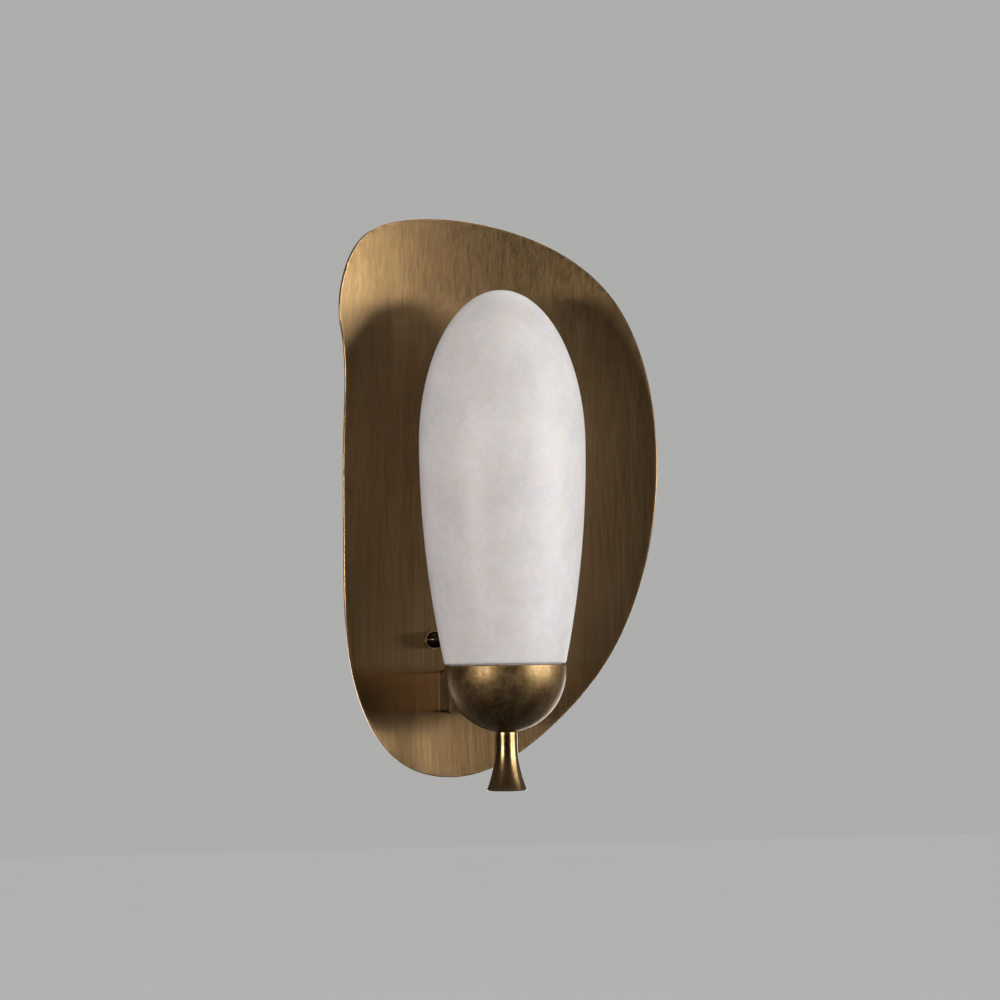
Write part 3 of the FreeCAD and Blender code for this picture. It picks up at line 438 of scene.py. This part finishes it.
def turned_aged_brass(kit, name, roughness, unevenness, pitch, mark_share):
    """Lathe rings under a blotchy patina. The pitch is the rings' own, in metres."""
    material, tree, shader = new_material(name, Metallic=1.0, Coat_Weight=0.10,
                                          Coat_Roughness=0.16)
    rings = use(tree, "turning_marks", Axis=CUP_AXIS, Pitch=pitch)["Marks"]
    blots = use(tree, "clouds", Size=0.007, Softness=0.24)["Mask"]
    stains = use(tree, "clouds", Size=0.0022, Softness=0.26)["Mask"]
    worn = use(tree, "rubbed_edges", Width=0.0022, Reach=0.10)["Mask"]
    body = patina(tree, kit, stains, blots, mark_share, worn, kit.dark, kit.gold)
    uneven = spread(tree, blots, 0.0, 1.0, roughness - unevenness, roughness + unevenness)
    feed(tree, shader, Base_Color=body, Roughness=uneven,
         Normal=bump(tree, rings, distance=0.006 * MM, strength=0.5))
    return material


class SCONCE_OT_brass(bpy.types.Operator):
    """Brushed sheet brass and turned brass under a brown patina"""
    bl_idname = "sconce.brass"
    bl_label = "Patinated Brass"

    def execute(self, context):
        kit = context.scene.sconce_brass
        brushed_brass(kit, "shell_brass", kit.dark, kit.light, with_rim=True)
        # A darkened copy of the shell's brass on the arm, cap nuts and washers: painted shade.
        paint(BRUSHED, brushed_brass(kit, "arm_brass", tinted(kit.dark, ARM_PAINTED_SHADE_DARK_TONE),
                                     tinted(kit.light, ARM_PAINTED_SHADE_LIGHT_TONE), with_rim=False))
        paint(("cup",), turned_aged_brass(kit, "cup_brass", roughness=0.44, unevenness=0.05,
                                          pitch=0.00035, mark_share=0.34))
        paint(("finial",), turned_aged_brass(kit, "finial_brass", roughness=0.24,
                                             unevenness=0.006, pitch=0.00022, mark_share=0.20))
        return {"FINISHED"}


# ---------------------------------------------------------------- pieces made here

# Edges that turn by less than this are shaded as one smooth surface.
SMOOTH_UNDER = math.radians(35)


def new_piece(name, shape, node, body, slot, *materials):
    """Makes a piece of a bmesh. It stands for a CAD node where one is named."""
    mesh = bpy.data.meshes.new(name)
    for face in shape.faces:
        face.smooth = True
    for edge in shape.edges:
        if len(edge.link_faces) == 2:
            edge.smooth = edge.calc_face_angle() < SMOOTH_UNDER
    shape.to_mesh(mesh)
    shape.free()
    for material in materials:
        mesh.materials.append(material)
    piece = bpy.data.objects.new(name, mesh)
    bpy.context.scene.collection.objects.link(piece)
    weighted = piece.modifiers.new("even_normals", "WEIGHTED_NORMAL")
    weighted.keep_sharp = True
    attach(piece, body)
    if node:
        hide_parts(node)


# ---------------------------------------------------------------- shell

# The holes for the studs, the arm's screws and the lead bush all lie in this part of the
# sheet, across X and up Z. Their edges stay sharp.
HOLES = ((-0.045, 0.045), (-0.045, 0.015))
# Faces whose normal has less than this along Y belong to the sheet's cut edge.
CUT_FACE_LIMIT = 0.6
RIM_CORNER = math.radians(45)
RIM_SEGMENTS = 3


def among_holes(point):
    (left, right), (low, high) = HOLES
    return left < point.x < right and low < point.z < high


class SCONCE_OT_shell(bpy.types.Operator):
    """Dished sheet with its rim rounded over"""
    bl_idname = "sconce.shell"
    bl_label = "Shell"

    def execute(self, context):
        kit = context.scene.sconce_brass
        shape = bmesh.new()
        shape.from_mesh(NODES["shell"].data)
        bmesh.ops.remove_doubles(shape, verts=shape.verts, dist=TOUCHING)
        cut_faces = [face for face in shape.faces if abs(face.normal.y) < CUT_FACE_LIMIT
                     and not among_holes(face.calc_center_median())]
        bmesh.ops.join_triangles(shape, faces=cut_faces, cmp_seam=False, cmp_sharp=False,
                                 cmp_uvs=False, cmp_vcols=False, cmp_materials=False,
                                 angle_face_threshold=math.radians(8),
                                 angle_shape_threshold=math.radians(170))
        rim = [edge for edge in shape.edges
               if len(edge.link_faces) == 2
               and edge.calc_face_angle() > RIM_CORNER
               and not among_holes(edge.verts[0].co)]
        bmesh.ops.bevel(shape, geom=rim, offset=kit.rim_round, offset_type="OFFSET",
                        segments=RIM_SEGMENTS, profile=0.5, affect="EDGES", material=-1,
                        clamp_overlap=False)
        new_piece("shell_sheet", shape, "shell", "fixture", "aged_brass",
                  bpy.data.materials["shell_brass"])
        return {"FINISHED"}


# ---------------------------------------------------------------- alabaster

class SCONCE_OT_alabaster(bpy.types.Operator):
    """Honed alabaster with faint clouds, veins and crystal flecks"""
    bl_idname = "sconce.alabaster"
    bl_label = "Alabaster"

    def execute(self, context):
        kit = context.scene.sconce_stone
        material, tree, shader = new_material(
            "alabaster", Subsurface_Weight=0.75, Subsurface_Radius=(1.0, 0.82, 0.70),
            Subsurface_Scale=kit.glow_depth, IOR=1.52)
        wide = use(tree, "clouds", Size=0.034, Softness=0.24)["Mask"]
        small = use(tree, "clouds", Size=0.006, Softness=0.22)["Mask"]
        clusters = use(tree, "clouds", Size=0.016, Softness=0.10)["Mask"]
        flecks = weigh(tree, clusters, use(tree, "specks", Size=0.0010, Amount=0.35)["Mask"])
        body = blend(tree, wide, kit.cloud, kit.body)
        body = blend(tree, weigh(tree, small, 0.30), body, kit.fleck)
        # A vein runs where the bent noise crosses its middle value.
        bent = noise(tree, place(tree), scale=26.0, detail=5.0, roughness=0.6, distortion=1.6)
        ridge = maths(tree, "ABSOLUTE", maths(tree, "SUBTRACT", bent, 0.5))
        vein = spread(tree, ridge, 0.0, 0.035, 0.55, 0.0)
        body = blend(tree, vein, body, kit.warm)
        body = blend(tree, weigh(tree, flecks, 0.34), body, kit.fleck)
        rough = spread(tree, small, 0.0, 1.0, 0.40, 0.50)
        grain = maths(tree, "ADD", small, weigh(tree, flecks, -0.5))
        feed(tree, shader, Base_Color=body, Roughness=rough,
             Normal=bump(tree, grain, distance=0.02 * MM, strength=0.5))
        paint(("shade",), material)
        return {"FINISHED"}


# ---------------------------------------------------------------- finishes of the parts inside

def turned_brass(kit):
    """Bright lathe-turned brass, tarnished in patches."""
    material, tree, shader = new_material("plain_brass", Metallic=1.0)
    rings = use(tree, "turning_marks", Axis=CUP_AXIS, Pitch=0.00025)["Marks"]
    dull = use(tree, "clouds", Size=0.012, Softness=0.2)["Mask"]
    worn = use(tree, "rubbed_edges", Width=0.0006, Reach=0.14)["Mask"]
    tarnish = tinted(kit.plain, 0.55)
    polished = (0.86, 0.70, 0.42)
    body = blend(tree, spread(tree, dull, 0.0, 1.0, 0.45, 0.0), kit.plain, tarnish)
    body = blend(tree, weigh(tree, worn, 0.6), body, polished)
    feed(tree, shader, Base_Color=body, Roughness=spread(tree, dull, 0.0, 1.0, 0.36, 0.24),
         Normal=bump(tree, rings, distance=0.006 * MM, strength=0.5))
    return material


def plated_steel(name, shade, roughness):
    """Plating with its crystals, yellowed in places and bright along the edges."""
    material, tree, shader = new_material(name, Metallic=1.0)
    spangle = use(tree, "clouds", Size=0.004, Softness=0.14)["Mask"]
    brush = use(tree, "brush_marks", Width=0.0003, Length=0.02)["Marks"]
    worn = use(tree, "rubbed_edges", Width=0.0006, Reach=0.14)["Mask"]
    yellowed = (shade[0] * 0.95, shade[1] * 0.90, shade[2] * 0.72)
    polished = (0.78, 0.78, 0.77)
    body = blend(tree, weigh(tree, spangle, 0.5), shade, tinted(shade, 0.62))
    old = use(tree, "clouds", Size=0.02, Softness=0.15)["Mask"]
    body = blend(tree, weigh(tree, old, 0.35), body, yellowed)
    body = blend(tree, weigh(tree, worn, 0.7), body, polished)
    feed(tree, shader, Base_Color=body,
         Roughness=maths(tree, "ADD", weigh(tree, spangle, 0.14), roughness),
         Normal=bump(tree, brush, distance=0.004 * MM, strength=0.4))
    return material


def moulded(name, shade, roughness, grain_size, grain_depth, soil, **constants):
    """Rubber, ceramic or plastic: its grain, faint soiling, and paler rubbed edges."""
    material, tree, shader = new_material(name, **constants)
    grain = noise(tree, place(tree), scale=1.0 / grain_size, detail=3.0, roughness=0.6)
    stain = use(tree, "clouds", Size=0.009, Softness=0.2)["Mask"]
    dust = use(tree, "specks", Size=0.0007, Amount=0.22)["Mask"]
    worn = use(tree, "rubbed_edges", Width=0.0007, Reach=0.16)["Mask"]
    paler = tuple(part + (1 - part) * 0.35 for part in shade)
    body = blend(tree, stain, tinted(shade, 1 - soil), shade)
    body = blend(tree, weigh(tree, dust, soil), body, tinted(shade, 0.4))
    body = blend(tree, weigh(tree, worn, 0.5), body, paler)
    feed(tree, shader, Base_Color=body,
         Roughness=spread(tree, grain, 0.3, 0.7, roughness - 0.06, roughness + 0.06),
         Normal=bump(tree, grain, distance=grain_depth, strength=0.6))
    return material


def frosted_glass():
    """Lightly frosted glass with a faint haze."""
    material, tree, shader = new_material("lamp_glass", Transmission_Weight=1.0, IOR=1.47)
    frost = noise(tree, place(tree), scale=900.0)
    haze = use(tree, "clouds", Size=0.01, Softness=0.2)["Mask"]
    feed(tree, shader, Base_Color=blend(tree, haze, (0.93, 0.94, 0.94), (0.99, 0.99, 0.99)),
         Roughness=spread(tree, frost, 0.3, 0.7, 0.10, 0.17),
         Normal=bump(tree, frost, distance=0.004 * MM, strength=0.3))
    return material


def earth_lead_pvc(kit):
    """Green with a yellow stripe down each side of the lead."""
    material = moulded("earth_lead_pvc", kit.green, 0.38, 0.0006, 0.008 * MM, 0.15)
    tree = material.node_tree
    shader = tree.nodes["Principled BSDF"]
    side = maths(tree, "ABSOLUTE", parts_of(tree, facing(tree))["Y"])
    stripe = spread(tree, side, 0.70, 0.76)
    under = shader.inputs["Base Color"].links[0].from_socket
    feed(tree, shader, Base_Color=blend(tree, stripe, under, kit.yellow))
    return material


# Moulded finishes: nodes, material, colour setting, roughness, grain size and depth in metres,
# soiling, and how much light travels inside.
MOULDED = (
    (RUBBER, "silicone", "silicone", 0.52, 0.0004, 0.010 * MM, 0.14, 0.2),
    (("holder_body",), "steatite", "ceramic", 0.66, 0.0003, 0.020 * MM, 0.12, 0.0),
    (("terminal_block",), "white_nylon", "nylon", 0.44, 0.0005, 0.010 * MM, 0.10, 0.3),
    (("lamp_base",), "lamp_plastic", "plastic", 0.30, 0.0012, 0.006 * MM, 0.07, 0.0),
    (("lamp_board",), "lamp_board", "board", 0.34, 0.0008, 0.006 * MM, 0.10, 0.0),
    (("live_lead",), "live_lead_pvc", "brown", 0.38, 0.0006, 0.008 * MM, 0.2, 0.0),
    (("neutral_lead",), "neutral_lead_pvc", "blue", 0.38, 0.0006, 0.008 * MM, 0.2, 0.0),
)
# How far light travels in silicone and nylon.
MOULDED_GLOW_DEPTH = 0.001


class SCONCE_OT_inside(bpy.types.Operator):
    """Finishes of the parts behind the shell and under the shade"""
    bl_idname = "sconce.inside"
    bl_label = "Inner Finishes"

    def execute(self, context):
        kit = context.scene.sconce_inside
        paint(PLAIN_BRASS, turned_brass(context.scene.sconce_brass))
        # The collar takes the same darkened brass: painted shade.
        paint(("collar",), bpy.data.materials["arm_brass"])
        paint(PLATED, plated_steel("zinc_steel", kit.zinc, roughness=0.30))
        paint(("lamp_pins",), plated_steel("nickel_wire", kit.nickel, roughness=0.18))
        for nodes, name, shade, roughness, grain_size, grain_depth, soil, glow in MOULDED:
            constants = {}
            if glow:
                constants = {"Subsurface_Weight": glow, "Subsurface_Scale": MOULDED_GLOW_DEPTH}
            paint(nodes, moulded(name, getattr(kit, shade), roughness, grain_size, grain_depth,
                                 soil, **constants))
        paint(("lamp_bulb",), frosted_glass())
        paint(("earth_lead",), earth_lead_pvc(kit))
        return {"FINISHED"}


# ---------------------------------------------------------------- threads

# Shares of the pitch: the thread's depth, where its flat crest begins and ends, and how
# near two corners lie that are one.
THREAD_DEPTH = 0.54
CREST = (0.44, 0.56)
SAME_CORNER = 0.02
# Turns wound past the two ends and then trimmed off.
SPARE_TURNS = 3
TUBE_WALL = 1.0 * MM
# Steps of the winding in one turn.
TUBE_STEPS = 24
STUD_STEPS = 16


def helix(shape, radius, depth, pitch, low, high, steps):
    """Winds one flank pair of a thread up Z and trims it level at both ends."""
    start = low - SPARE_TURNS / 2 * pitch
    turns = math.ceil((high - low) / pitch) + SPARE_TURNS
    root = radius - depth
    profile = ((root, 0.0), (radius, CREST[0]), (radius, CREST[1]), (root, 1.0))
    verts = [shape.verts.new((away, 0, start + up * pitch)) for away, up in profile]
    edges = [shape.edges.new(pair) for pair in zip(verts, verts[1:])]
    bmesh.ops.spin(shape, geom=verts + edges, cent=(0, 0, 0), axis=(0, 0, 1),
                   dvec=(0, 0, pitch / steps), angle=2 * math.pi * turns, steps=steps * turns,
                   use_merge=False)
    bmesh.ops.remove_doubles(shape, verts=shape.verts, dist=pitch * SAME_CORNER)
    for level, up in ((low, -1), (high, 1)):
        everything = shape.verts[:] + shape.edges[:] + shape.faces[:]
        bmesh.ops.bisect_plane(shape, geom=everything, plane_co=(0, 0, level),
                               plane_no=(0, 0, up), clear_outer=True)


def level_loop(shape, level):
    """Open edges that lie at one level."""
    return [edge for edge in shape.edges if edge.is_boundary
            and all(abs(vert.co.z - level) < TOUCHING for vert in edge.verts)]


def threaded_bar(radius, depth, pitch, low, high, bore, steps):
    """Bar threaded from end to end. With a bore, given as its radius, it is a tube."""
    shape = bmesh.new()
    helix(shape, radius, depth, pitch, low, high, steps)
    inner = []
    for level in (low, high):
        loop = level_loop(shape, level)
        if not bore:
            bmesh.ops.edgeloop_fill(shape, edges=loop)
            continue
        made = bmesh.ops.extrude_edge_only(shape, edges=loop)["geom"]
        for vert in (item for item in made if isinstance(item, bmesh.types.BMVert)):
            across = Vector((vert.co.x, vert.co.y, 0)).normalized() * bore
            vert.co = (across.x, across.y, level)
        inner += [item for item in made if isinstance(item, bmesh.types.BMEdge)
                  and item.is_boundary]
    if bore:
        bmesh.ops.bridge_loops(shape, edges=inner)
    bmesh.ops.recalc_face_normals(shape, faces=shape.faces)
    return shape


class SCONCE_OT_threads(bpy.types.Operator):
    """Screw threads of the lamp tube and the fixing studs"""
    bl_idname = "sconce.threads"
    bl_label = "Threads"

    def execute(self, context):
        kit = context.scene.sconce_inside
        low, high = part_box("threaded_tube")
        radius = (high[0] - low[0]) / 2
        tube = threaded_bar(radius, THREAD_DEPTH * kit.tube_pitch, kit.tube_pitch, low[2],
                            high[2], bore=radius - TUBE_WALL, steps=TUBE_STEPS)
        bmesh.ops.translate(tube, verts=tube.verts,
                            vec=((low[0] + high[0]) / 2, (low[1] + high[1]) / 2, 0))
        new_piece("threaded_tube_cut", tube, "threaded_tube", "fixture", "plain_brass",
                  bpy.data.materials["plain_brass"])
        low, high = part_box("fixing_studs")
        radius = (high[2] - low[2]) / 2
        studs = bmesh.new()
        for side in (low[0] + radius, high[0] - radius):
            stud = threaded_bar(radius, THREAD_DEPTH * kit.stud_pitch, kit.stud_pitch, 0.0,
                                high[1] - low[1], bore=0.0, steps=STUD_STEPS)
            bmesh.ops.rotate(stud, verts=stud.verts, cent=(0, 0, 0),
                             matrix=Matrix.Rotation(math.radians(90), 3, "X"))
            bmesh.ops.translate(stud, verts=stud.verts,
                                vec=(side, high[1], (low[2] + high[2]) / 2))
            mesh = bpy.data.meshes.new("stud")
            stud.to_mesh(mesh)
            stud.free()
            studs.from_mesh(mesh)
            bpy.data.meshes.remove(mesh)
        new_piece("fixing_studs_cut", studs, "fixing_studs", "fixture", "zinc_steel",
                  bpy.data.materials["zinc_steel"])
        return {"FINISHED"}


# ---------------------------------------------------------------- chips on the lamp's board

CHIP_WIDTH = 2.8 * MM
CHIP_HEIGHT = 3.0 * MM
CHIP_THICKNESS = 0.7 * MM
CHIP_ROWS = 7
# Bare board below the rows of chips, and below and above them together.
BOARD_FOOT = 3.5 * MM
BOARD_BARE = 4 * MM
# The chip's window: width of the case round it, then of its sloping side, and its depth.
CASE_BORDER = 0.35 * MM
WINDOW_SLOPE = 0.05 * MM
WINDOW_DEPTH = 0.12 * MM


class SCONCE_OT_chips(bpy.types.Operator):
    """Light-emitting chips on the four sides of the lamp's board"""
    bl_idname = "sconce.chips"
    bl_label = "Lamp Chips"

    def execute(self, context):
        kit = context.scene.sconce_inside
        low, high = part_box("lamp_board")
        axis = Vector(((low[0] + high[0]) / 2, (low[1] + high[1]) / 2, 0))
        half = (high[0] - low[0]) / 2
        chip = Matrix.Diagonal((CHIP_WIDTH, CHIP_THICKNESS, CHIP_HEIGHT, 1))
        step = (high[2] - low[2] - BOARD_BARE) / CHIP_ROWS
        shape = bmesh.new()
        for row in range(CHIP_ROWS):
            level = low[2] + BOARD_FOOT + step * (row + 0.5)
            for side in range(4):
                turn = Matrix.Rotation(math.radians(90 * side), 4, "Z")
                spot = Matrix.Translation((axis.x, axis.y, level)) @ turn
                spot = spot @ Matrix.Translation((0, -half - CHIP_THICKNESS / 2, 0))
                body = bmesh.ops.create_cube(shape, size=1.0, matrix=spot @ chip)
                faces = {face for vert in body["verts"] for face in vert.link_faces}
                outward = turn.to_3x3() @ Vector((0, -1, 0))
                for face in faces:
                    face.normal_update()
                front = max(faces, key=lambda face: face.normal.dot(outward))
                bmesh.ops.inset_individual(shape, faces=[front], thickness=CASE_BORDER,
                                           depth=0.0)
                window = bmesh.ops.inset_individual(
                    shape, faces=[front], thickness=WINDOW_SLOPE, depth=-WINDOW_DEPTH)
                for face in [front] + window["faces"]:
                    face.material_index = 1
        case = moulded("chip_case", kit.plastic, roughness=0.4, grain_size=0.0005,
                       grain_depth=0.004 * MM, soil=0.05)
        gel = moulded("chip_phosphor", kit.phosphor, roughness=0.22, grain_size=0.0003,
                      grain_depth=0.004 * MM, soil=0.10, Subsurface_Weight=0.3,
                      Subsurface_Scale=0.0005)
        new_piece("lamp_chips", shape, None, "lamp", "lamp_board", case, gel)
        return {"FINISHED"}


# ---------------------------------------------------------------- studio

# Middle of the sconce, which every soft lamp looks at.
SCONCE_MIDDLE = (0, -0.06, 0.09)
WHITE = (1, 1, 1)
WARM_WHITE = (1.0, 0.94, 0.92)
# Soft lamps: name, azimuth and elevation in degrees, distance, width and height in metres,
# power in watts, and tint. The upright brushing spreads a highlight sideways alone, so only
# lamps near the camera's level show in the shell. The high ones light the stone and the floor.
SOFTBOXES = (
    ("right_wide", 66, 4, 1.8, 1.1, 1.0, 8.5, WHITE),
    ("right_strip", 74, -1, 1.8, 0.50, 0.30, 5.0, WHITE),
    ("right_front", 46, 0, 1.8, 0.60, 0.50, 9.0, WHITE),
    ("left_strip", -52, -1, 1.8, 0.40, 0.28, 6.4, WARM_WHITE),
    ("left_front_strip", -42, -1.5, 1.8, 0.30, 0.22, 4.3, WARM_WHITE),
    ("overhead", 10, 65, 1.8, 1.4, 1.1, 5.0, WHITE),
    ("behind", 165, 48, 2.2, 1.6, 1.6, 12, WHITE),
    ("behind_right", 158, -14, 2.2, 1.4, 0.8, 9, WHITE),
    ("behind_left", -158, -14, 2.2, 1.4, 0.8, 9, WHITE),
)
# The floor's own light, set so that it meets the backdrop almost without a line.
FLOOR_GLOW = 0.765


def aim(thing, spot, target, roll=0.0):
    """Puts a camera or lamp at a spot and turns it to a target."""
    thing.location = spot
    thing.rotation_mode = "QUATERNION"
    turn = (Vector(target) - Vector(spot)).to_track_quat("-Z", "Y")
    thing.rotation_quaternion = turn @ Matrix.Rotation(roll, 3, "Z").to_quaternion()


def from_target(target, azimuth, elevation, distance):
    """Point at a distance from the target. Azimuth 0 is in front, and grows to the right."""
    back = Vector((math.sin(azimuth) * math.cos(elevation),
                   -math.cos(azimuth) * math.cos(elevation), math.sin(elevation)))
    return Vector(target) + back * distance


def softbox(name, azimuth, elevation, distance, width, height, power, tint):
    """Oblong soft lamp that looks at the middle of the sconce. Angles are in degrees."""
    lamp = bpy.data.lights.new(name, "AREA")
    lamp.shape = "RECTANGLE"
    lamp.size, lamp.size_y = width, height
    lamp.energy = power
    lamp.color = tint
    thing = bpy.data.objects.new(name, lamp)
    bpy.context.scene.collection.objects.link(thing)
    spot = from_target(SCONCE_MIDDLE, math.radians(azimuth), math.radians(elevation), distance)
    aim(thing, spot, SCONCE_MIDDLE)
    thing.visible_camera = False


def studio_world(kit):
    """Plain backdrop for the camera, even fill for the stone, and a room for the brass: dim in
    front, paler behind to the right and towards the ceiling and floor."""
    world = bpy.data.worlds.new("studio")
    world.use_nodes = True
    tree = world.node_tree
    path = add(tree, "ShaderNodeLightPath")
    toward = parts_of(tree, add(tree, "ShaderNodeTexCoord").outputs["Generated"])
    behind = spread(tree, toward["Y"], 0.0, 0.35)
    to_right = spread(tree, toward["X"], -0.4, 0.8, 0.2, 1.0)
    not_below = spread(tree, toward["Z"], -0.9, -0.4, 0.2, 1.0)
    wall = weigh(tree, weigh(tree, behind, to_right), not_below)
    steep = spread(tree, maths(tree, "ABSOLUTE", toward["Z"]), 0.12, 0.30)
    glow = weigh(tree, steep, not_below)
    mirrored = blend(tree, glow, kit.room, kit.bounce)
    mirrored = blend(tree, wall, mirrored, kit.wall)
    tones = []
    for colour_of_tone in (mirrored, (*kit.fill, 1), (*kit.backdrop, 1)):
        tone = add(tree, "ShaderNodeBackground")
        feed(tree, tone, Color=colour_of_tone)
        tones.append(tone.outputs[0])
    under = tones[0]
    for ray, tone in (("Is Diffuse Ray", tones[1]), ("Is Camera Ray", tones[2])):
        mix = add(tree, "ShaderNodeMixShader")
        tree.links.new(path.outputs[ray], mix.inputs["Fac"])
        tree.links.new(under, mix.inputs[1])
        tree.links.new(tone, mix.inputs[2])
        under = mix.outputs[0]
    tree.links.new(under, tree.nodes["World Output"].inputs["Surface"])
    return world


def make_floor(kit):
    """Pale paper on the floor, lit evenly out to the backdrop."""
    mesh = bpy.data.meshes.new("floor")
    shape = bmesh.new()
    bmesh.ops.create_grid(shape, x_segments=1, y_segments=1, size=kit.floor_reach,
                          matrix=Matrix.Translation((0, 0, kit.floor_level)))
    shape.to_mesh(mesh)
    shape.free()
    material, tree, shader = new_material("floor_paper", Roughness=0.85,
                                          Emission_Strength=FLOOR_GLOW)
    fibre = noise(tree, place(tree), scale=3.0, detail=3.0)
    tone = blend(tree, fibre, tinted(kit.backdrop, 0.97), kit.backdrop)
    feed(tree, shader, Base_Color=tone, Emission_Color=tone)
    mesh.materials.append(material)
    floor = bpy.data.objects.new("floor", mesh)
    bpy.context.scene.collection.objects.link(floor)
    floor.visible_glossy = False
    floor.visible_diffuse = False


class SCONCE_OT_stage(bpy.types.Operator):
    """Floor, soft studio light and camera"""
    bl_idname = "sconce.stage"
    bl_label = "Studio"

    def execute(self, context):
        kit = context.scene.sconce_stage
        scene = context.scene
        make_floor(kit)
        for lamp in SOFTBOXES:
            softbox(*lamp)
        scene.world = studio_world(kit)
        scene.view_settings.view_transform = "Standard"
        camera = bpy.data.objects.new("camera", bpy.data.cameras.new("camera"))
        camera.data.sensor_width = SENSOR_WIDTH
        camera.data.lens = kit.lens
        scene.collection.objects.link(camera)
        aim(camera, from_target(kit.target, kit.azimuth, kit.elevation, kit.distance),
            kit.target, kit.roll)
        scene.camera = camera
        return {"FINISHED"}


# ---------------------------------------------------------------- add-on

class SCONCE_PT_panel(bpy.types.Panel):
    """Steps that dress the sconce"""
    bl_idname = "SCONCE_PT_panel"
    bl_label = "Dished Wall Sconce"
    bl_space_type = "VIEW_3D"
    bl_region_type = "UI"
    bl_category = "Sconce"

    def draw(self, context):
        for step in STEPS:
            self.layout.operator(step.bl_idname)


STEPS = (SCONCE_OT_effects, SCONCE_OT_brass, SCONCE_OT_shell, SCONCE_OT_alabaster,
         SCONCE_OT_inside, SCONCE_OT_threads, SCONCE_OT_chips, SCONCE_OT_stage)
CLASSES = tuple(group for name, group in SETTINGS) + STEPS + (SCONCE_PT_panel,)


def register():
    for item in CLASSES:
        bpy.utils.register_class(item)
    for name, group in SETTINGS:
        setattr(bpy.types.Scene, name, bpy.props.PointerProperty(type=group))


def unregister():
    for name, group in SETTINGS:
        delattr(bpy.types.Scene, name)
    for item in reversed(CLASSES):
        bpy.utils.unregister_class(item)


def main():
    register()
    for step in STEPS:
        family, action = step.bl_idname.split(".")
        getattr(getattr(bpy.ops, family), action)()


if __name__ == "__main__":
    main()
